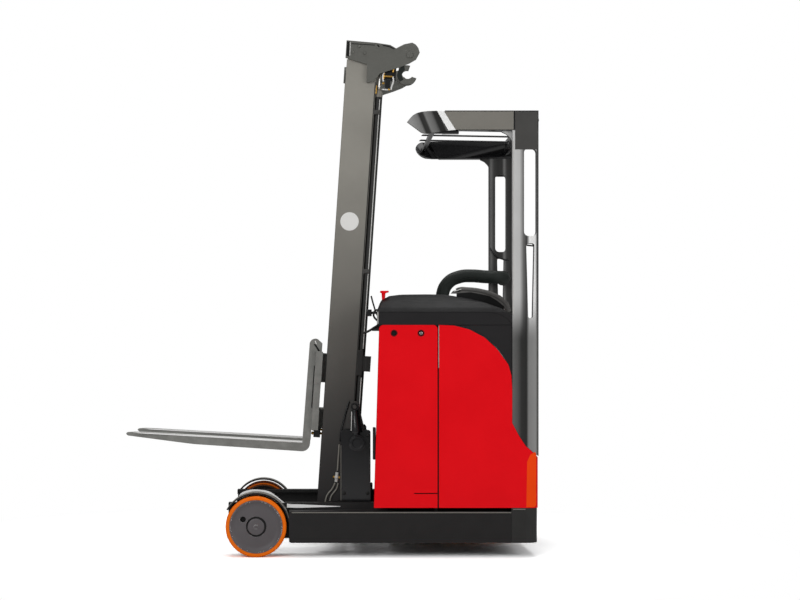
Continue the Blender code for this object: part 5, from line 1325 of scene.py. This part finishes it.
class TRUCK_OT_cockpit(bpy.types.Operator):
    """Steering wheel with its knob, dash details, knobs, pedal, mat and vents."""

    bl_idname = "truck.cockpit"
    bl_label = "Cockpit"

    def execute(self, context):
        self.steering()
        self.dash()
        self.levers()
        self.floor()
        self.vents()
        self.hood_front()
        self.bulkhead()
        self.cowl()
        return {"FINISHED"}

    def steering(self):
        """The wheel's rim with its three spokes and hub, its knob and its cap."""
        hub, lean = Vector((0.725, -0.245, 1.13)), Vector((0.2, 0.1, 1.0)).normalized()
        turn = lean.to_track_quat("Z", "Y").to_matrix()
        ring, grip = 0.08, 0.0098
        circle = [(ring + out, up) for out, up in ring_of(16, grip)]
        rim = Shape().lathe(circle, hub, lean, 72, closed=True)
        for around in (math.tau * i / 3 + 0.5 for i in range(3)):
            out = turn @ Vector((math.cos(around), math.sin(around), 0))
            rim.bar(hub + out * 0.02, hub + out * 0.074, 0.0085, 0.0065, 16)
        rim.lathe([(0, -0.013), (0.026, -0.013), (0.03, -0.006), (0.03, 0.006), (0.026, 0.012),
                   (0.016, 0.015), (0, 0.016)], hub, lean, 40)
        rim.piece("steering_wheel_rim", "soft_black", "steering_wheel", replaces=("steering_wheel",))
        spot = hub + turn @ Vector((-0.076, 0.02, 0.0))
        (Shape()
         .bar(spot, spot + lean * 0.03, 0.006, 0.005, 16)
         .lathe([(0, 0.022), (0.01, 0.024), (0.0155, 0.032), (0.0165, 0.042), (0.012, 0.052),
                 (0, 0.056)], spot, lean, 28)
         .piece("steering_knob", "gloss_black", "steering_wheel"))
        cap = [(0, 0.018), (0.012, 0.0176), (0.0135, 0.016), (0.0135, 0.014)]
        Shape().lathe(cap, hub, lean, 32).piece("steering_cap", "rail_grey", "steering_wheel")

    def dash(self):
        """Panel, screen, keys and stop button on the sloping dash."""
        place = Matrix.Translation((0.645, -0.36, 1.064)) @ Matrix.Rotation(0.478, 4, "Y")
        (Shape(place=place)
         .box((-0.055, 0.05), (-0.075, 0.075), (-0.006, 0.01))
         .piece("dash_panel", "black_plastic", ease=0.004))
        (Shape(place=place)
         .box((-0.042, 0.0), (-0.045, 0.035), (0.009, 0.0112))
         .piece("dash_screen", "screen_glass", ease=0.001))
        keys = Shape(place=place)
        for y in (-0.05 + i * 0.021 for i in range(5)):
            keys.box((0.014, 0.028), (y, y + 0.014), (0.009, 0.0128))
        (keys
         .bar((-0.02, 0.056, 0.009), (-0.02, 0.056, 0.016), 0.011, 0.01)
         .piece("dash_keys", "rail_grey", ease=0.001))
        (Shape(place=place)
         .bar((0.03, 0.06, 0.009), (0.03, 0.06, 0.02), 0.007)
         .lathe([(0, 0.03), (0.01, 0.029), (0.015, 0.025), (0.015, 0.02), (0, 0.019)],
                (0.03, 0.06, 0.0), (0, 0, 1), 32)
         .piece("dash_stop_button", "red_paint"))

    def levers(self):
        levers, boots = Shape(), Shape()
        boot = [(0.0135, -0.004), (0.0135, 0.003), (0.0105, 0.006), (0.0115, 0.009), (0.008, 0.012),
                (0.0088, 0.015), (0.0045, 0.018), (0, 0.018)]
        for y in (-0.205 + i * 0.032 for i in range(4)):
            levers.bar((0.64, 1.072), (0.652, 1.118), 0.0035, 0.003, 12, y=y)
            levers.ball((0.653, y, 1.124), 0.0095)
            boots.lathe(boot, (0.641, y, 1.074), (0.25, 0, 1), 24)
        levers.piece("dash_levers", "gloss_black")
        boots.piece("dash_lever_boots", "hose_rubber")
        (Shape()
         .box((0.759, 0.764), (-0.5, -0.16), (0.93, 0.975))
         .piece("dash_kneepad", "hose_rubber", ease=0.002))

    def floor(self):
        (Shape()
         .box((0.548, 0.924), (-0.516, -0.134), (0.2775, 0.2825))
         .piece("floor_mat", "hose_rubber", ease=0.0015))
        rows = [((x / 1000, -0.325, 0.2825), (0, 0, 1), (0, 1, 0)) for x in range(572, 910, 22)]
        copies("floor_mat_ribs", slat(0.01, -0.004, 0.0055), rows, "hose_rubber", "root", 0.35)
        (Shape()
         .plate([(0.6, 0.282), (0.606, 0.282), (0.655, 0.33), (0.7, 0.352), (0.696, 0.359),
                 (0.65, 0.337)], (-0.44, -0.35))
         .piece("brake_pedal", "gloss_black", ease=0.002))
        rows = [((0.658 + i * 0.0095, -0.395, 0.339 + i * 0.00463), (-0.437, 0, 0.899), (0, 1, 0))
                for i in range(4)]
        copies("pedal_tread", slat(0.0022, -0.001, 0.0022), rows, "hose_rubber", "root", 0.078)

    def vents(self):
        """The seat base's door at its side and cover at the rear, with their vents and bolts."""
        (Shape()
         .box((0.64, 0.9), (-0.1262, -0.1215), (0.34, 0.6))
         .piece("seat_base_door", "black_plastic", ease=0.002))
        rows = [((0.77, -0.1266, 0.4 + i * 0.018), (0, -1, 0), (1, 0, 0)) for i in range(8)]
        copies("seat_base_vents", slat(0.02, -0.01, 0.004), rows, "dark_hole_and_painted_shade", "root", 0.17)
        (Shape()
         .box((1.024, 1.0275), (-0.08, 0.38), (0.33, 0.62))
         .piece("seat_base_rear_cover", "black_plastic", ease=0.0015))
        rows = [((1.0277, -0.04 + i * 0.0225, 0.56), (1, 0, 0), (0, 0, 1)) for i in range(17)]
        copies("rear_cover_vents", slat(0.035, -0.01, 0.004), rows, "dark_hole_and_painted_shade", "root", 0.07)
        rows = [((1.0277, y, z), (1, 0, 0)) for y in (-0.066, 0.366) for z in (0.345, 0.605)]
        rows += [((x, -0.1265, z), (0, -1, 0)) for x in (0.655, 0.885) for z in (0.355, 0.585)]
        bolts("cockpit_bolts", rows, "root", 0.011)

    def hood_front(self):
        """Red handle, latch pin, cables and a painted highlight on the hood's front corner."""
        (Shape()
         .bar((0.2748, 1.262), (0.2748, 1.302), 0.0075, 0.01, 20, y=-0.45)
         .plate([(0.256, 1.306), (0.26, 1.313), (0.299, 1.313), (0.302, 1.306), (0.286, 1.301),
                 (0.283, 1.296), (0.268, 1.296), (0.265, 1.301)], (-0.46, -0.44))
         .piece("release_handle", "red_paint", ease=0.0015))
        (Shape()
         .box((0.19, 0.2435), (-0.515, -0.485), (1.196, 1.208))
         .box((0.19, 0.214), (-0.52, -0.48), (1.185, 1.218))
         .piece("hood_latch", "gloss_black", ease=0.002))
        (Shape()
         .pipe([(0.218, -0.3, 1.294), (0.23, -0.3, 1.25), (0.245, -0.302, 1.205),
                (0.27, -0.305, 1.16), (0.29, -0.306, 1.12)], 0.0042)
         .pipe([(0.295, -0.33, 1.19), (0.245, -0.334, 1.222), (0.23, -0.336, 1.205),
                (0.236, -0.338, 1.18), (0.293, -0.34, 1.15)], 0.005)
         .pipe([(0.176, 1.102), (0.2, 1.112), (0.232, 1.132), (0.256, 1.146)], 0.006, y=-0.47)
         .piece("hood_cables", "hose_rubber"))
        # A pale strip on the hood's front corner: painted highlight
        (Shape()
         .box((0.2405, 0.245), (-0.5715, -0.545), (1.146, 1.205))
         .piece("hood_corner_band", "pale_strip", ease=0.001))

    def bulkhead(self):
        """Ribs, bolts and a bump strip on the panel that faces the mast."""
        (Shape()
         .box((0.2195, 0.233), (-0.56, -0.5), (0.479, 0.637))
         .piece("cover_bump_strip", "hose_rubber", ease=0.003))
        ribs = Shape()
        for y in (-0.3, -0.1, 0.1, 0.3):
            ribs.box((0.28, 0.2905), (y - 0.01, y + 0.01), (0.3, 1.1))
        ribs.piece("bulkhead_ribs", "black_frame", ease=0.0015)
        rows = [((0.29, y, z), (-1, 0, 0)) for y in (-0.46, -0.2, 0.0, 0.2, 0.46)
                for z in (0.32, 0.7, 1.08)]
        bolts("bulkhead_bolts", rows, "root", 0.014)

    def cowl(self):
        """The grey roll along the rim, the dark hole and bright end at its start, and its shadow."""
        roll = [(0.642, 1.317), (0.66, 1.324), (0.695, 1.3235), (0.76, 1.316), (0.82, 1.298),
                (0.868, 1.271), (0.896, 1.242), (0.905, 1.21)]
        Shape().pipe(roll, 0.0105, 16, y=-0.398).piece("cowl_rim_roll", "grey_trim")
        (Shape()
         .lathe([(0, 0.0012), (0.0075, 0.0012), (0.009, 0)], (0.652, -0.4082, 1.319), (0, -1, 0), 24)
         .piece("cowl_rim_hole", "dark_hole_and_painted_shade"))
        (Shape()
         .plate([(0.628, 1.3145), (0.665, 1.325), (0.665, 1.3215), (0.63, 1.311)], (-0.4095, -0.4065))
         .piece("cowl_rim_glint", "white_and_painted_highlight"))
        (Shape()
         .plate([(0.644, 1.31), (0.712, 1.3085), (0.808, 1.2885), (0.846, 1.2655), (0.88, 1.2375),
                 (0.878, 1.2), (0.806, 1.23), (0.712, 1.25), (0.644, 1.27)], (-0.399, -0.374))
         .piece("cowl_rim_shadow_strip", "dark_hole_and_painted_shade"))


class TRUCK_OT_underside(bpy.types.Operator):
    """Drive wheel, motor fins, and the deck's bolts underneath."""

    bl_idname = "truck.underside"
    bl_label = "Drive and underside"

    def execute(self, context):
        self.drive_wheel()
        self.motor()
        rows = [((x, sign * 0.34, 0.203), (0, 0, -1)) for sign in (-1, 1)
                for x in (0.4, 0.55, 0.7, 0.85)]
        bolts("deck_bolts", rows, "root", 0.018)
        bands = Shape()
        for x in (0.25, 0.716):
            bands.lathe([(0.0345, 0), (0.0375, 0), (0.0375, 0.018), (0.0345, 0.018)],
                        (x, -0.2, 0.152), (1, 0, 0), 40, closed=True)
        bands.piece("reach_barrel_bands", "rail_grey", ease=0.001)
        (Shape()
         .box((1.015, 1.029), (-0.1, 0.1), (0.12, 0.17))
         .piece("rear_blank_plate", "rail_grey", ease=0.003))
        return {"FINISHED"}

    def drive_wheel(self):
        centre = (DRIVE_X, DRIVE_Y, 0.14)
        tyre = both_ways([(0.095, 0.0385), (0.1, 0.0398), (0.129, 0.0396), (0.1345, 0.0382),
                          (0.138, 0.035), (0.14, 0.029)])
        (Shape()
         .lathe(tyre, centre, steps=80, closed=True)
         .piece("drive_tyre", "tyre_orange", "drive_wheel", replaces=("drive_wheel",)))
        hub = [(0.0226, -0.034), (0.048, -0.034), (0.052, -0.03), (0.086, -0.03), (0.09, -0.0385),
               (0.0948, -0.0385), (0.0948, 0.0385), (0.09, 0.0385), (0.086, 0.03), (0.0226, 0.03)]
        Shape().lathe(hub, centre, closed=True).piece("drive_hub", "wheel_grey", "drive_wheel")
        rows = [((DRIVE_X + x, DRIVE_Y - 0.03, 0.14 + z), (0, -1, 0)) for x, z in ring_of(6, 0.068)]
        bolts("drive_hub_bolts", rows, "drive_wheel", 0.013)

    def motor(self):
        fins = Shape()
        for z in (0.372 + i * 0.022 for i in range(9)):
            fins.lathe([(0.094, 0), (0.101, 0), (0.101, 0.006), (0.094, 0.006)],
                       (DRIVE_X, DRIVE_Y, z), (0, 0, 1), 48, closed=True)
        fins.lathe([(0, 0), (0.09, 0), (0.086, 0.01), (0.04, 0.02), (0, 0.02)],
                   (DRIVE_X, DRIVE_Y, 0.615), (0, 0, 1), 48)
        fins.piece("motor_fins", "black_frame", "drive_unit")
        rows = [((DRIVE_X + x, DRIVE_Y + y, 0.3354), (0, 0, 1)) for x, y in ring_of(12, 0.19)]
        bolts("turntable_bolts", rows, "drive_unit")


# The stage, the panel and the run

class TRUCK_OT_stage(bpy.types.Operator):
    """Builds the pale floor, the soft lights and the camera at the photograph's place."""

    bl_idname = "truck.stage"
    bl_label = "Stage"

    def execute(self, context):
        studio, square = context.scene.truck_studio, 30.0
        plane = bmesh.new()
        bmesh.ops.create_grid(plane, x_segments=1, y_segments=1, size=square)
        mesh = bpy.data.meshes.new("studio_floor")
        plane.to_mesh(mesh)
        plane.free()
        mesh.materials.append(floor_material())
        place_object("studio_floor", mesh)
        lamp("key_light", (-3.2, -6.2, 3.6), (0.1, 0.0, 1.1), 3.4, studio.key_power)
        lamp("fill_light", (4.6, -4.2, 2.4), (0.4, 0.0, 1.0), 2.6, studio.fill_power)
        lamp("top_light", (0.2, 0.6, 5.2), (0.2, 0.0, 0.0), 4.0, studio.top_power)
        even_light(context.scene, studio.sky_level)
        photo_camera(context.scene)
        context.scene.view_settings.view_transform = "Standard"
        return {"FINISHED"}


def floor_material():
    """Pale and matt. The camera sees it white away from the truck, with a soft shadow near it."""
    material = bpy.data.materials.new("studio_floor")
    material.use_nodes = True
    tree = material.node_tree
    tree.nodes.clear()
    place = object_place(tree)
    reach = add_node(tree, "ShaderNodeVectorMath", {"operation": "LENGTH"}, _0=place).outputs["Value"]
    away = map_range(tree, reach, 1.2, 2.4, smooth=True)
    near = add_node(tree, "ShaderNodeBsdfDiffuse", Color=(2.1, 2.1, 2.1, 1.0))
    far = add_node(tree, "ShaderNodeEmission", Color=(1.0, 1.0, 1.0, 1.0), Strength=1.0)
    seen = add_node(tree, "ShaderNodeMixShader", _0=away, _1=near.outputs[0], _2=far.outputs[0])
    matt = add_node(tree, "ShaderNodeBsdfDiffuse", Color=(0.72, 0.72, 0.72, 1.0))
    path = add_node(tree, "ShaderNodeLightPath")
    both = add_node(tree, "ShaderNodeMixShader", _0=path.outputs["Is Camera Ray"],
                    _1=matt.outputs[0], _2=seen.outputs[0])
    add_node(tree, "ShaderNodeOutputMaterial", Surface=both.outputs[0]).is_active_output = True
    return material


def lamp(name, place, target, size, power):
    light = bpy.data.lights.new(name, "AREA")
    light.shape = "RECTANGLE"
    light.size = light.size_y = size
    light.energy = power
    piece = place_object(name, light)
    piece.location = place
    piece.rotation_euler = (Vector(target) - Vector(place)).to_track_quat("-Z", "Y").to_euler()


def even_light(scene, level):
    """A world that is white to the camera and in reflections, and lights the truck at a level."""
    scene.world = bpy.data.worlds.new("studio_world")
    scene.world.use_nodes = True
    tree = scene.world.node_tree
    back = tree.nodes["Background"]
    back.inputs["Color"].default_value = (1.0, 1.0, 1.0, 1.0)
    path = add_node(tree, "ShaderNodeLightPath")
    seen = maths(tree, "MAXIMUM", path.outputs["Is Camera Ray"], path.outputs["Is Transmission Ray"])
    tree.links.new(map_range(tree, seen, 0.0, 1.0, level, 1.0), back.inputs["Strength"])


def photo_camera(scene):
    """The camera stands level, and its shift puts the vanishing point where the photo has it."""
    camera = bpy.data.cameras.new("photo_camera")
    camera.sensor_width = 36.0
    camera.lens = camera.sensor_width * CAMERA_DISTANCE / (PHOTO_SIZE[0] * METRES_A_PIXEL)
    camera.shift_x = (PHOTO_SIZE[0] / 2 - PHOTO_CENTRE[0]) / PHOTO_SIZE[0]
    camera.shift_y = (PHOTO_CENTRE[1] - PHOTO_SIZE[1] / 2) / PHOTO_SIZE[0]
    camera.clip_end = 200.0
    scene.camera = place_object("photo_camera", camera)
    scene.camera.location = (CAMERA_X, NEAR_SIDE_Y - CAMERA_DISTANCE, CAMERA_Z)
    scene.camera.rotation_euler = (math.pi / 2, 0.0, 0.0)


class TRUCK_PT_dressing(bpy.types.Panel):
    """Lists the truck's groups of pieces, with their sizes and colours."""

    bl_label = "Reach Truck"
    bl_space_type = "VIEW_3D"
    bl_region_type = "UI"
    bl_category = "Reach Truck"

    def draw(self, context):
        for step in STEPS:
            self.layout.operator(step.bl_idname)
        for attribute in PROPERTY_GROUPS:
            group = getattr(context.scene, attribute)
            for name in group.__annotations__:
                self.layout.prop(group, name)


STEPS = (TRUCK_OT_stage, TRUCK_OT_finishes, TRUCK_OT_body, TRUCK_OT_guard, TRUCK_OT_wheels,
         TRUCK_OT_mast, TRUCK_OT_carriages, TRUCK_OT_padding, TRUCK_OT_cockpit, TRUCK_OT_underside)
PROPERTY_GROUPS = {"truck_colours": TruckColours, "truck_sizes": TruckSizes,
                   "truck_studio": TruckStudio}
CLASSES = (*PROPERTY_GROUPS.values(), *STEPS, TRUCK_PT_dressing)


def register():
    for each in CLASSES:
        bpy.utils.register_class(each)
    for attribute, group in PROPERTY_GROUPS.items():
        setattr(bpy.types.Scene, attribute, bpy.props.PointerProperty(type=group))


def unregister():
    for attribute in PROPERTY_GROUPS:
        delattr(bpy.types.Scene, attribute)
    for each in reversed(CLASSES):
        bpy.utils.unregister_class(each)


def main():
    register()
    for step in STEPS:
        family, name = step.bl_idname.split(".")
        getattr(getattr(bpy.ops, family), name)()


if __name__ == "__main__":
    main()
